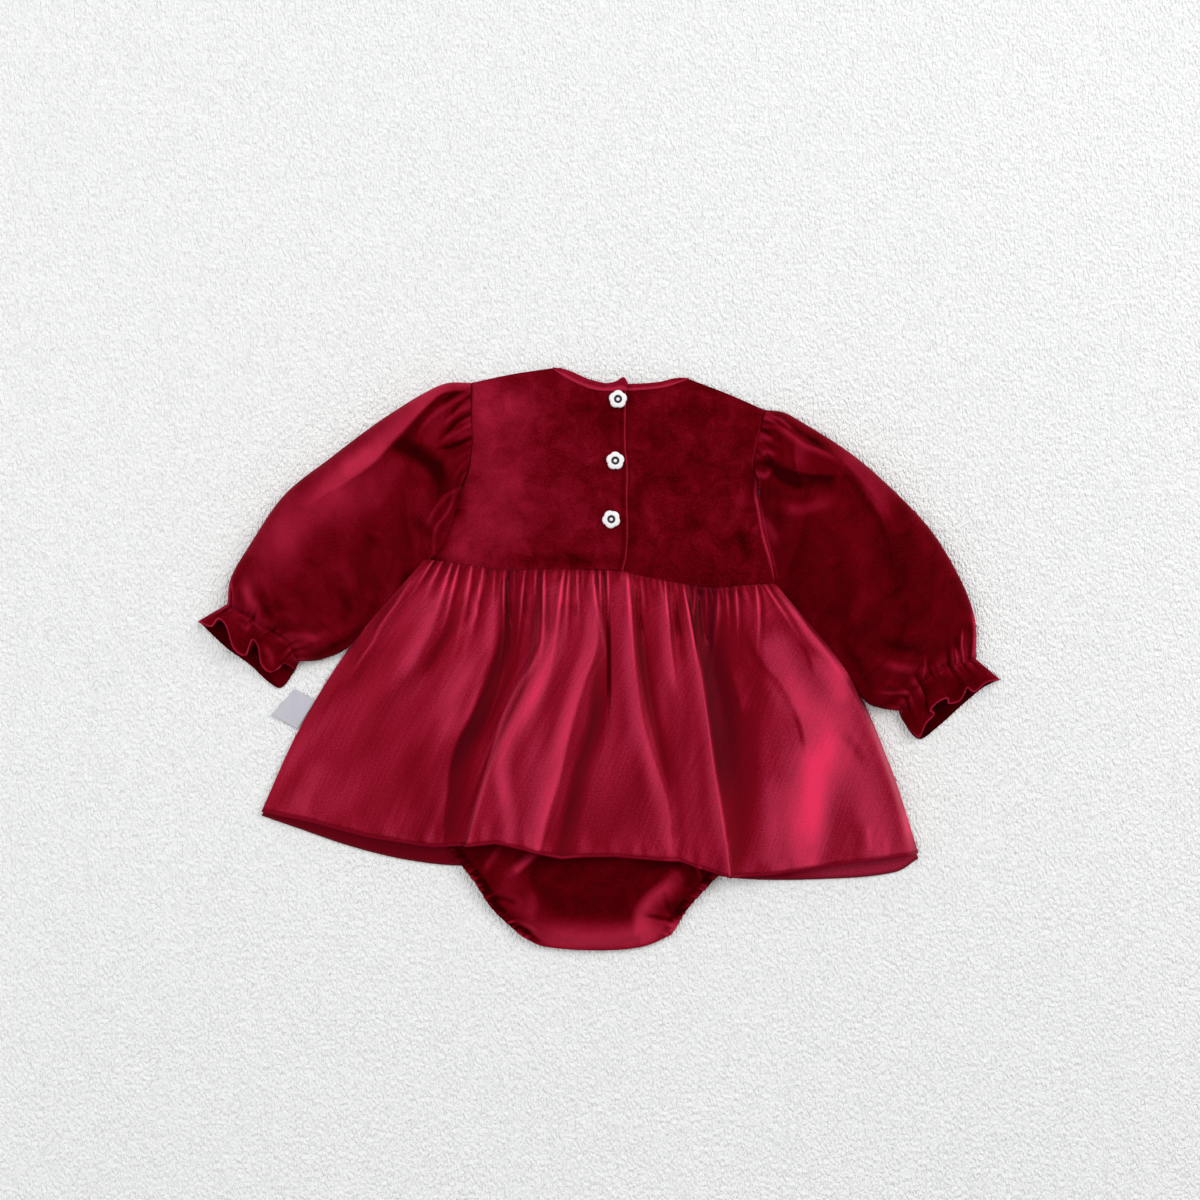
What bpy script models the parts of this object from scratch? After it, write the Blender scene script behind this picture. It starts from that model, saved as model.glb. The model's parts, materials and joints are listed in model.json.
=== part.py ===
"""Skirted baby romper in velvet and satin, laid flat on its front with its back up.

Every piece of cloth is a thin wall with the shape that it takes when the garment lies on a table.
Sizes and tables are in millimetres on the layout: X runs across the garment, Y runs from the legs up to the
neck, and heights count from the table. "Left" and "right" are the layout's left and right.
"""

from collections import namedtuple

import bpy
import numpy as np

MM = 0.001
LAYOUT_MIDDLE = (0.0, -0.92)  # middle of the whole outline, which becomes the origin

# Cloth and gaps
VELVET = 1.4
SATIN = 1.0
BINDING = 2.0      # the neck binding is folded, so it is thicker
LABEL_TAPE = 1.0
LAYER_GAP = 0.35   # between two layers that lie on each other
LAYER = VELVET + LAYER_GAP
NECK_SEAM = 0.5    # between pieces sewn side by side, wider where their facets cut a curve differently
WAIST_SEAM = 0.8

# How far the layers stand off each other
BODY_RISE = 3.0       # back of the bodice above its side seams
NECK_RISE = 0.75      # share of that rise which is left at the neckline
ARMHOLE_RISE = 5.4    # the armhole stands open by this much
BLOOMER_PUFF = 3.3    # back of the bloomers above the front
PLACKET_LAP = 20.0
LIFT_START, LIFT_RUN = 17.0, 9.0  # the placket's upper half starts to rise this far before it, over this run
FRONT_BINDING_WIDTH = 5.0

# Bloomers
RAMP_FOOT, RAMP_TOP = -178.0, -156.0  # between these the front comes up from the table onto the front skirt
PUFF_START = -116.0   # below this the back puffs up
PUFF_SLOPE, CROTCH_SLOPE = 22.0, 12.0  # distances from the legs and from the crotch over which it does so
ELASTIC_WIDTH = 8.0   # flat band along the legs and the crotch
FACET_GAP = 0.2       # more room where the skirt's facets cross those of the bloomers
BED_MARGIN, BED_SLOPE = 5.0, 8.0  # the skirt comes down this far outside the bloomers, over this run

# Flattened sleeve tube
SLEEVE_SPOTS = 28     # points around it
SLEEVE_EDGE = 3.0     # height of its side edges
SLEEVE_ROUND = 0.7    # the smaller, the flatter its top
SLEEVE_TURN = 0.36    # share of its half height over which the underside turns up to the edge
SLEEVE_END = 0.2      # share of its length over which a ring takes the bow of the seam at its end

# Shares of the bodice's edges and width
NECK_START, NECK_END = 0.28, 0.76           # neckline on the top edge
UNDERARM_LEFT, UNDERARM_RIGHT = 0.42, 0.58  # start of the armhole on each side edge
SIDE_SLOPE = 0.09      # width over which the back comes down to its side seams
ARMHOLE_SLOPE = 0.16   # width over which the open armhole comes down
SHOULDER_SLOPE = 0.14  # height over which the back comes down to its shoulder seams
LAP_ON_NECK, EDGE_ON_NECK = 0.335, 0.5555   # start and end of the placket's overlap on the neckline
OVER_START, OVER_RUN = 0.24, 0.07  # the left binding rises here, over this run, to lie on the right one

# Outlines on the layout: columns x, y
WAIST = ((-114.0, 66.3), (-96.0, 64.0), (-70.0, 60.2), (-31.0, 59.8), (11.0, 59.6), (29.0, 55.5),
         (47.0, 52.0), (77.5, 47.6), (99.0, 49.2), (119.7, 50.0))
SIDE_LEFT = ((-114.0, 66.3), (-107.2, 74.0), (-98.6, 94.0))
ARMHOLE_LEFT = ((-93.0, 114.6), (-88.0, 129.0), (-85.5, 146.0), (-86.2, 165.0), (-86.6, 186.3))
SIDE_RIGHT = ((119.7, 50.0), (116.4, 68.0), (110.0, 96.0))
ARMHOLE_RIGHT = ((107.0, 119.0), (104.8, 131.0), (106.5, 143.0), (110.0, 157.0), (112.5, 167.8))
SHOULDER_LEFT = ((-86.6, 186.3), (-60.0, 192.0), (-31.8, 196.3))
SHOULDER_RIGHT = ((61.0, 188.9), (87.0, 179.0), (112.5, 167.8))
NECKLINE_BACK = ((-31.8, 196.3), (-19.0, 187.6), (-2.0, 181.0), (19.0, 180.8), (44.0, 183.2), (61.0, 188.9))
NECK_TOP_LEFT = ((-31.0, 197.0), (-21.0, 195.0), (-7.5, 189.0), (4.0, 185.8), (11.0, 186.8), (16.8, 189.7),
                 (19.6, 185.6))
NECK_TOP_RIGHT = ((-1.0, 185.0), (20.0, 185.4), (40.0, 186.8), (52.0, 189.6), (61.2, 189.7))
NECK_MIDDLE = (14.0, 200.0)
NECKLINE_FRONT = ((-31.8, 196.3), (-18.0, 176.0), (13.0, 164.0), (44.0, 170.0), (61.0, 188.9))

SKIRT_LEFT_EDGE = ((-118.5, 65.0), (-167.5, 9.0), (-203.0, -48.5))
SKIRT_RIGHT_EDGE = ((119.7, 48.8), (169.0, -11.0), (197.0, -72.0))
HEM_BACK = ((-229.2, -104.6), (-196.0, -111.0), (-158.0, -121.0), (-112.0, -128.0), (-89.0, -127.0),
            (-69.0, -124.5), (-25.0, -134.6), (10.0, -133.6), (54.0, -136.8), (89.0, -148.0),
            (119.0, -147.0), (162.0, -139.5), (216.8, -132.6))
HEM_FRONT = ((-229.2, -107.4), (-204.0, -116.2), (-169.5, -128.0), (-133.0, -137.0), (-94.0, -141.4),
             (-40.0, -138.0), (40.0, -140.0), (93.0, -150.0), (160.0, -150.2), (202.0, -145.6),
             (217.0, -136.4))

BLOOMER_SIDE_LEFT = ((-104.0, 64.6), (-113.0, 10.0), (-119.0, -60.0), (-117.0, -112.0))
BLOOMER_LEG_LEFT = ((-117.0, -112.0), (-100.0, -133.0), (-85.0, -151.0), (-72.4, -170.5), (-52.6, -189.0))
BLOOMER_CROTCH = ((-52.6, -189.0), (-38.0, -195.8), (0.0, -198.6), (30.0, -196.0), (49.0, -188.0))
BLOOMER_LEG_RIGHT = ((110.0, -116.0), (97.0, -133.0), (77.6, -151.0), (60.6, -170.0), (49.0, -188.0))
BLOOMER_SIDE_RIGHT = ((109.7, 49.0), (121.0, 0.0), (121.0, -60.0), (110.0, -116.0))

LABEL_CORNERS = ((-192.5, -28.9), (-206.6, -21.6), (-222.4, -38.8), (-205.1, -48.9))

# Buttons
BUTTON_DIAMETER = 12.0
BUTTON_THICK = 2.6
BUTTON_SPOTS = 20
BUTTON_PETALS, PETAL_DEPTH = 5, 0.055
BUTTON_CENTRES = {"button_top": (12.8, 174.5), "button_middle": (11.0, 133.0), "button_bottom": (8.3, 93.5)}
ButtonRing = namedtuple("ButtonRing", "radius height petals")  # shares
BUTTON_RINGS = (
    ButtonRing(0.80, 0.0, 1.0),
    ButtonRing(1.0, 0.35, 1.0),
    ButtonRing(0.94, 0.8, 1.0),
    ButtonRing(0.70, 1.0, 0.6),
    ButtonRing(0.34, 1.0, 0.0),
    ButtonRing(0.27, 0.6, 0.0),
)

# Folds of the gathered skirt, left to right: where each runs at the waist, a third and two thirds of the way
# down and at the hem (x), and how high it stands there above what it lies on.
Fold = namedtuple("Fold", "waist upper lower hem lift_upper lift_lower lift_hem")
SKIRT_FOLDS = (
    Fold(-118.5, -167.5, -203.0, -229.2, 0.0, 0.0, 0.0),
    Fold(-113.0, -158.5, -194.0, -219.0, 3.0, 2.6, 1.6),
    Fold(-108.0, -148.0, -183.0, -207.0, 1.6, 1.4, 0.8),
    Fold(-100.0, -121.0, -160.0, -185.0, 8.0, 5.0, 2.2),
    Fold(-93.0, -109.0, -140.0, -160.0, 1.6, 2.0, 1.0),
    Fold(-79.0, -84.0, -110.0, -128.0, 8.5, 6.5, 3.2),
    Fold(-64.0, -67.5, -93.0, -108.0, 8.0, 4.0, 2.0),
    Fold(-58.0, -61.0, -84.0, -99.0, 0.4, 0.4, 0.4),
    Fold(-50.0, -54.0, -79.0, -95.0, 2.6, 0.8, 0.4),
    Fold(-41.0, -47.0, -73.0, -91.6, 0.6, 0.4, 0.4),
    Fold(-38.0, -45.5, -71.0, -90.2, 8.0, 9.0, 8.5),
    Fold(-31.0, -40.0, -62.0, -79.0, 8.0, 9.0, 8.0),
    Fold(-24.0, -32.5, -50.0, -64.0, 11.5, 9.4, 7.4),
    Fold(-14.0, -20.0, -37.0, -50.0, 6.6, 7.4, 6.6),
    Fold(-5.0, -7.5, -21.0, -37.0, 11.5, 12.0, 8.5),
    Fold(4.5, 5.0, -2.0, -12.0, 0.6, 0.8, 1.2),
    Fold(8.0, 8.0, 9.5, 8.0, 7.0, 6.4, 4.6),
    Fold(20.0, 23.5, 34.0, 48.0, 9.6, 9.6, 7.2),
    Fold(28.0, 31.0, 45.0, 60.0, 2.0, 2.4, 4.0),
    Fold(42.0, 48.5, 58.0, 69.0, 9.0, 6.0, 5.0),
    Fold(50.0, 56.5, 67.0, 77.0, 3.4, 4.4, 4.2),
    Fold(57.5, 67.8, 76.8, 88.0, 9.0, 10.0, 8.0),
    Fold(61.0, 69.6, 78.8, 90.0, 0.6, 0.4, 0.4),
    Fold(70.0, 79.0, 92.0, 103.0, 0.4, 0.4, 0.8),
    Fold(79.0, 92.0, 113.0, 128.0, 4.4, 3.6, 3.2),
    Fold(87.0, 102.0, 123.0, 138.0, 1.8, 3.0, 3.0),
    Fold(95.0, 114.0, 137.0, 150.0, 6.4, 7.6, 6.0),
    Fold(102.0, 124.0, 148.0, 163.0, 4.6, 8.6, 6.6),
    Fold(108.0, 136.0, 160.0, 176.0, 8.0, 8.4, 6.0),
    Fold(114.0, 152.5, 180.0, 197.0, 4.0, 4.0, 3.0),
    Fold(117.5, 161.5, 189.0, 208.0, 3.4, 3.4, 2.4),
    Fold(119.7, 169.0, 197.0, 216.8, 0.0, 0.0, 0.0),
)
FOLD_STATIONS = (0.0, 1 / 3, 2 / 3, 1.0)  # waist, upper, lower and hem as shares of the way down
SKIRT_ROWS = (1.0, 0.93, 0.8, 0.62, 0.44, 0.28, 0.15, 0.06, 0.0)  # rows of points built, hem first
WAIST_PRESS = 0.13  # share of the length over which the waist seam presses the folds flat

# Sleeve cross-sections from the armhole (0) to the elastic (1): the outer and the inner edge of the flattened
# tube on the layout, and how high the tube stands.
Section = namedtuple("Section", "station outer_x outer_y inner_x inner_y height")
SLEEVE_LEFT = (
    Section(0.00, -87.5, 186.4, -94.0, 114.6, 8.6),
    Section(0.12, -104.0, 185.8, -99.6, 93.5, 15.0),
    Section(0.23, -121.0, 177.8, -107.6, 76.5, 19.0),
    Section(0.33, -138.4, 167.0, -119.4, 67.2, 20.6),
    Section(0.42, -154.6, 156.0, -128.8, 55.6, 21.0),
    Section(0.55, -182.0, 135.2, -142.4, 40.4, 21.0),
    Section(0.70, -213.4, 109.8, -156.2, 24.6, 21.0),
    Section(0.82, -236.2, 76.8, -170.6, 6.6, 19.0),
    Section(0.92, -249.4, 54.0, -188.4, -1.4, 14.0),
    Section(1.00, -252.0, 36.4, -203.3, -2.8, 8.0),
)
SLEEVE_RIGHT = (
    Section(0.00, 113.3, 168.0, 107.9, 119.0, 8.6),
    Section(0.12, 126.0, 165.8, 111.6, 94.0, 15.0),
    Section(0.23, 143.4, 156.0, 117.8, 68.0, 19.0),
    Section(0.33, 160.6, 145.2, 121.4, 50.8, 20.6),
    Section(0.42, 176.4, 133.8, 133.0, 36.0, 21.0),
    Section(0.55, 200.0, 112.8, 150.6, 14.6, 21.0),
    Section(0.70, 225.4, 85.4, 167.4, -6.6, 21.0),
    Section(0.82, 244.6, 53.5, 180.0, -28.8, 19.0),
    Section(0.92, 255.0, 25.0, 189.6, -34.0, 14.0),
    Section(1.00, 255.6, -0.9, 203.3, -36.2, 8.0),
)

SLEEVE_STATIONS = (0.0, 0.05, 0.12, 0.23, 0.33, 0.42, 0.52, 0.62, 0.7, 0.8, 0.88, 0.95, 1.0)  # rings built
FRILL_STEPS = (0.35, 0.7, 1.0)  # shares of the frill's reach past the elastic

# Edge of each cuff frill, from its inner to its outer end: columns x, y, and z where the upper layer waves.
FRILL_TOP_LEFT = ((-206.0, -8.0, 3.0), (-213.0, -4.0, 6.0), (-222.0, -10.0, 4.6), (-228.0, -5.0, 7.0),
                  (-229.6, 8.0, 11.0), (-233.0, 13.0, 13.0), (-236.0, 8.0, 10.0), (-240.0, 1.4, 6.0),
                  (-246.5, 6.0, 8.0), (-251.0, 22.0, 12.0), (-256.0, 27.0, 12.0), (-263.0, 21.4, 6.0),
                  (-272.0, 24.6, 3.0))
FRILL_UNDER_LEFT = ((-206.0, -8.0), (-216.0, -20.6), (-224.0, -17.0), (-237.0, -5.0), (-253.0, 6.5),
                    (-272.0, 24.6))
FRILL_TOP_RIGHT = ((205.0, -41.0, 3.0), (216.0, -54.0, 5.0), (221.0, -44.0, 8.0), (226.0, -38.6, 8.0),
                   (222.6, -35.6, 11.0), (229.0, -29.0, 12.0), (235.0, -27.0, 12.0), (237.0, -31.0, 7.0),
                   (244.0, -29.0, 7.0), (248.0, -20.0, 11.0), (254.0, -23.0, 7.0), (262.0, -17.0, 5.0),
                   (272.0, -14.8, 3.0))
FRILL_UNDER_RIGHT = ((205.0, -41.0), (217.0, -55.4), (229.0, -48.0), (247.0, -32.0), (261.0, -20.5),
                     (272.0, -14.8))
ELASTIC_LEFT = ((-203.3, -2.8), (-209.0, 10.0), (-223.0, 19.0), (-232.0, 25.5), (-252.0, 36.4))
ELASTIC_RIGHT = ((203.3, -36.2), (211.0, -22.0), (226.0, -9.6), (239.0, -4.0), (255.6, -0.9))

# Largest creases of the other pieces: a straight run, its half width and its height (a trough is negative).
Crease = namedtuple("Crease", "x0 y0 x1 y1 width lift")
CREASES_SLEEVE_LEFT = (
    Crease(-100.0, 178.0, -128.0, 160.0, 9.0, 2.6),
    Crease(-128.0, 160.0, -168.0, 126.0, 13.0, 2.4),
    Crease(-112.0, 162.0, -122.0, 128.0, 15.0, -3.4),
    Crease(-106.0, 104.0, -126.0, 84.0, 10.0, -2.4),
    Crease(-214.0, 40.0, -178.0, 36.0, 16.0, -3.0),
    Crease(-232.0, 36.0, -222.0, 62.0, 9.0, 2.0),
)
CREASES_SLEEVE_RIGHT = (
    Crease(124.0, 158.0, 172.0, 132.0, 9.0, 2.4),
    Crease(122.0, 130.0, 158.0, 118.0, 14.0, -3.6),
    Crease(168.0, 128.0, 184.0, 96.0, 9.0, 2.0),
    Crease(196.0, 14.0, 222.0, -2.0, 12.0, -2.4),
    Crease(190.0, -8.0, 212.0, -14.0, 9.0, 2.2),
)
CREASES_BLOOMER = (
    Crease(-76.0, -152.0, -62.0, -128.0, 9.0, 2.0),
    Crease(-60.0, -147.0, -42.0, -132.0, 7.0, 2.4),
    Crease(-36.0, -176.0, 20.0, -178.0, 14.0, -1.6),
    Crease(-30.0, -189.0, 36.0, -187.0, 9.0, 2.0),
    Crease(34.0, -160.0, 48.0, -176.0, 8.0, 3.0),
    Crease(56.0, -138.0, 58.0, -160.0, 6.0, -2.0),
)

COLOURS = {  # linear base colour and roughness
    "velvet": ((0.110, 0.003, 0.014), 0.85),
    "satin": ((0.230, 0.006, 0.034), 0.42),
    "white": ((0.800, 0.800, 0.820), 0.35),
}


# Lines and surfaces -------------------------------------------------------------------------------------

def ease(t):
    """Go from 0 to 1 with a flat start and a flat end."""
    t = np.clip(t, 0.0, 1.0)
    return t * t * (3.0 - 2.0 * t)


def through(knots, values, t):
    """Values at t on a smooth line that passes through the given values at the given knots."""
    knots = np.asarray(knots, float)
    values = np.asarray(values, float)
    slopes = np.empty_like(values)
    slopes[1:-1] = (values[2:] - values[:-2]) / (knots[2:] - knots[:-2])[:, None]
    slopes[0] = (values[1] - values[0]) / (knots[1] - knots[0])
    slopes[-1] = (values[-1] - values[-2]) / (knots[-1] - knots[-2])
    t = np.asarray(t, float)
    span = np.clip(np.searchsorted(knots, t, side="right") - 1, 0, len(knots) - 2)
    length = (knots[span + 1] - knots[span])[..., None]
    p = ((t - knots[span])[..., None]) / length
    return ((2 * p ** 3 - 3 * p ** 2 + 1) * values[span] + (p ** 3 - 2 * p ** 2 + p) * length * slopes[span]
            + (3 * p ** 2 - 2 * p ** 3) * values[span + 1] + (p ** 3 - p ** 2) * length * slopes[span + 1])


def curve(points):
    """A function of 0..1 that walks along a smooth line through the points at an even pace."""
    points = np.asarray(points, float)
    steps = np.linalg.norm(np.diff(points, axis=0), axis=1)
    knots = np.concatenate(([0.0], np.cumsum(steps)))
    fine = through(knots, points, np.linspace(0.0, knots[-1], 40 * len(points)))
    pace = np.concatenate(([0.0], np.cumsum(np.linalg.norm(np.diff(fine, axis=0), axis=1))))
    pace /= pace[-1]

    def at(t):
        return np.stack([np.interp(t, pace, fine[:, axis]) for axis in range(fine.shape[1])], axis=-1)
    return at


def straight_line(line, t):
    """Points of the straight line between a curve's two ends."""
    return line(0.0) + (line(1.0) - line(0.0)) * t[:, None]


def chain(curves, breaks):
    """One function of 0..1 that runs through several curves, which meet at the given breaks."""
    limits = [0.0, *breaks, 1.0]

    def at(t):
        t = np.asarray(t, float)
        result = curves[0](np.clip((t - limits[0]) / (limits[1] - limits[0]), 0.0, 1.0))
        for part, start, end in zip(curves[1:], limits[1:], limits[2:]):
            piece = part(np.clip((t - start) / (end - start), 0.0, 1.0))
            result = np.where((t > start)[..., None], piece, result)
        return result
    return at


def coons(bottom, top, left, right, u, v):
    """Points of the patch that four edge curves enclose: u runs left to right and v bottom to top."""
    across, up = u[..., None], v[..., None]
    between_ends = bottom(u) * (1 - up) + top(u) * up
    between_sides = left(v) * (1 - across) + right(v) * across
    low = bottom(0.0) * (1 - across) + bottom(1.0) * across
    high = top(0.0) * (1 - across) + top(1.0) * across
    return between_ends + between_sides - low * (1 - up) - high * up


def relief(x, y, creases):
    """Height that the creases add at each place."""
    total = np.zeros_like(x)
    for crease in creases:
        along_x, along_y = crease.x1 - crease.x0, crease.y1 - crease.y0
        share = ((x - crease.x0) * along_x + (y - crease.y0) * along_y) / (along_x ** 2 + along_y ** 2)
        share = np.clip(share, 0.0, 1.0)
        distance = np.hypot(x - crease.x0 - share * along_x, y - crease.y0 - share * along_y)
        total += crease.lift * (1.0 - np.clip(distance / crease.width, 0.0, 1.0) ** 2) ** 2
    return total


def grid(rows, columns):
    """u and v at every corner of a net with this many rows and columns of faces."""
    return np.meshgrid(np.linspace(0.0, 1.0, columns + 1), np.linspace(0.0, 1.0, rows + 1))


# Heights of the layers ----------------------------------------------------------------------------------

def bloomer_front_height(y):
    """The front of the bloomers lies on the front skirt and comes down to the table below its hem."""
    return (SATIN + LAYER_GAP) * ease((y - RAMP_FOOT) / (RAMP_TOP - RAMP_FOOT))


def leg_distance(x, y):
    """How far inside the outline of the bloomers a place lies, sideways."""
    left = np.array(BLOOMER_LEG_LEFT[::-1] + BLOOMER_SIDE_LEFT[::-1])
    right = np.array(BLOOMER_LEG_RIGHT[::-1] + BLOOMER_SIDE_RIGHT[::-1])
    left_x = np.interp(y, left[:, 1], left[:, 0])
    right_x = np.interp(y, right[:, 1], right[:, 0])
    return np.minimum(x - left_x, right_x - x)


def bloomer_back_height(x, y):
    """The back of the bloomers puffs up a little between the legs' elastic edges and the crotch."""
    crotch = np.array(BLOOMER_CROTCH)
    above_crotch = y - np.interp(x, crotch[:, 0], crotch[:, 1])
    inside = ease(leg_distance(x, y) / PUFF_SLOPE) * ease(above_crotch / CROTCH_SLOPE)
    puff = BLOOMER_PUFF * ease((PUFF_START - y) / (PUFF_START - RAMP_TOP)) * inside
    hemmed = ease(leg_distance(x, y) / ELASTIC_WIDTH) * ease(above_crotch / ELASTIC_WIDTH)
    folds = relief(x, y, CREASES_BLOOMER) * hemmed
    return bloomer_front_height(y) + LAYER + puff + np.maximum(folds, -puff)


def skirt_bed(x, y):
    """Lowest place for the back skirt: on the bloomers, or on the front skirt beside them."""
    beside = SATIN + LAYER_GAP
    on_bloomers = bloomer_back_height(x, y) + LAYER + FACET_GAP
    inside = 1.0 - ease((-leg_distance(x, y) - BED_MARGIN) / BED_SLOPE)
    return beside + (on_bloomers - beside) * inside


def bodice_edges(neckline):
    """Edge curves of a bodice piece with the given neckline."""
    top = chain([curve(SHOULDER_LEFT), curve(neckline), curve(SHOULDER_RIGHT)], [NECK_START, NECK_END])
    left = chain([curve(SIDE_LEFT + ARMHOLE_LEFT[:1]), curve(ARMHOLE_LEFT)], [UNDERARM_LEFT])
    right = chain([curve(SIDE_RIGHT + ARMHOLE_RIGHT[:1]), curve(ARMHOLE_RIGHT)], [UNDERARM_RIGHT])
    return curve(WAIST), top, left, right


def armhole_share(inwards, v, underarm):
    """How much of the armhole's rise a place has, from how far it lies in from that side."""
    along = np.sin(np.pi * np.clip((v - underarm) / (1.0 - underarm), 0.0, 1.0))
    return along * (1.0 - ease(inwards / ARMHOLE_SLOPE))


def bodice_back_surface(u, v):
    """Lower surface of the bodice's back, whole: it rises from the side seams and stands open at armholes."""
    x, y = np.moveaxis(coons(*bodice_edges(NECKLINE_BACK), u, v), -1, 0)
    neck = np.sin(np.pi * np.clip((u - NECK_START) / (NECK_END - NECK_START), 0.0, 1.0))
    shoulder = 1.0 - ease((v - 1.0 + SHOULDER_SLOPE) / SHOULDER_SLOPE) * (1.0 - NECK_RISE * neck)
    rise = BODY_RISE * ease(np.minimum(u, 1.0 - u) / SIDE_SLOPE) * shoulder
    armhole = ARMHOLE_RISE * (armhole_share(u, v, UNDERARM_LEFT) + armhole_share(1.0 - u, v, UNDERARM_RIGHT))
    return np.stack([x, y, LAYER + np.maximum(rise, armhole)], axis=-1)


def placket_edge(v):
    """Where the top half of the placket ends, as a share of the bodice's width."""
    return 0.556 + 0.028 * v - 0.038 * v ** 2


def placket_lift(x_from_edge):
    """The left half rises onto the right half along the placket's overlap."""
    return LAYER * ease((x_from_edge + PLACKET_LAP + LIFT_START) / LIFT_RUN)


# Meshes -------------------------------------------------------------------------------------------------

def material(name):
    """A plain material of one of the three kinds, made anew for each piece."""
    colour, roughness = COLOURS[name]
    made = bpy.data.materials.new(name)
    made.use_nodes = True
    shader = made.node_tree.nodes["Principled BSDF"]
    shader.inputs["Base Color"].default_value = (*colour, 1.0)
    shader.inputs["Roughness"].default_value = roughness
    return made


def add_object(name, points, faces, kind, wall=0.0, outwards=True):
    """Make one object from layout points; a wall turns an open surface into a closed sheet."""
    places = np.array(points, float).reshape(-1, 3)
    places[:, 0] -= LAYOUT_MIDDLE[0]
    places[:, 1] -= LAYOUT_MIDDLE[1]
    mesh = bpy.data.meshes.new(name)
    mesh.from_pydata((places * MM).tolist(), [], faces)
    mesh.materials.append(material(kind))
    mesh.shade_smooth()
    made = bpy.data.objects.new(name, mesh)
    bpy.context.scene.collection.objects.link(made)
    if wall:
        solid = made.modifiers.new("Wall", "SOLIDIFY")
        solid.thickness = wall * MM
        solid.offset = 1.0 if outwards else -1.0
    return made


def sheet(name, points, kind, wall):
    """A panel: a net of points on its lower side, thickened upwards."""
    rows, columns = points.shape[0] - 1, points.shape[1] - 1
    faces = []
    for row in range(rows):
        for column in range(columns):
            first = row * (columns + 1) + column
            faces.append((first, first + 1, first + columns + 2, first + columns + 1))
    return add_object(name, points, faces, kind, wall)


def tube_faces(rings, count):
    """Faces between rings of points that follow each other."""
    faces = []
    for ring in range(rings - 1):
        for spot in range(count):
            after = (spot + 1) % count
            faces.append((ring * count + spot, ring * count + after,
                          (ring + 1) * count + after, (ring + 1) * count + spot))
    return faces


def capped_faces(rings, count):
    """The same, with a face that closes each end."""
    faces = tube_faces(rings, count)
    faces.append(tuple(range(count - 1, -1, -1)))
    faces.append(tuple((rings - 1) * count + spot for spot in range(count)))
    return faces


def band(name, inner, outer, height, thick):
    """A folded velvet strip with rounded edges between two lines; height is that of its lower side."""
    t = np.linspace(0.0, 1.0, len(height))
    near, far = inner(t), outer(t)
    section = ((0.0, 0.35), (0.25, 0.0), (0.75, 0.0), (1.0, 0.35), (0.7, 1.0), (0.3, 1.0))
    rings = []
    for here, there, low in zip(near, far, height):
        ring = [(*(here + (there - here) * share), low + thick * up) for share, up in section]
        rings.append(ring)
    faces = capped_faces(len(rings), len(section))
    return add_object(name, rings, faces, "velvet")


# Pieces -------------------------------------------------------------------------------------------------

def add_bodice():
    """Front, and the back in two halves whose placket overlaps."""
    u, v = grid(7, 16)
    front = coons(*bodice_edges(NECKLINE_FRONT), u, v)
    sheet("bodice_front", np.concatenate([front, np.zeros_like(u)[..., None]], axis=-1), "velvet", VELVET)

    u, v = grid(9, 10)
    edge = placket_edge(v)
    left = bodice_back_surface(u * edge, v)
    edge_x = bodice_back_surface(edge, v)[..., 0]
    left[..., 2] += placket_lift(left[..., 0] - edge_x)
    sheet("bodice_back_left", left, "velvet", VELVET)

    lap = PLACKET_LAP / (WAIST[-1][0] - WAIST[0][0])
    right = bodice_back_surface(edge - lap + u * (1.0 - edge + lap), v)
    sheet("bodice_back_right", right, "velvet", VELVET)


def add_bindings():
    """Narrow velvet binding around the neck: front, back left over the placket, back right under it."""
    neck = curve(NECKLINE_BACK)
    steps = 12
    t = np.linspace(0.0, 1.0, steps + 1)

    def back_binding(name, start, end, top, lift):
        share = start + t * (end - start)
        height = LAYER + BODY_RISE * NECK_RISE * np.sin(np.pi * share) + lift
        band(name, curve(neck(share) + np.array([0.0, NECK_SEAM])), curve(top), height, BINDING)

    over = (BINDING + LAYER_GAP) * ease((t * EDGE_ON_NECK - OVER_START) / OVER_RUN)
    back_binding("neck_binding_back_left", 0.0, EDGE_ON_NECK, NECK_TOP_LEFT, over)
    back_binding("neck_binding_back_right", LAP_ON_NECK, 1.0, NECK_TOP_RIGHT, 0.0)

    line = curve(NECKLINE_FRONT)(t)
    inwards = np.array(NECK_MIDDLE) - line
    inwards /= np.linalg.norm(inwards, axis=1)[:, None]
    near = curve(line + 3.0 * NECK_SEAM * inwards)
    far = curve(line + (3.0 * NECK_SEAM + FRONT_BINDING_WIDTH) * inwards)
    band("neck_binding_front", near, far, np.zeros_like(t), VELVET)


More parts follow.
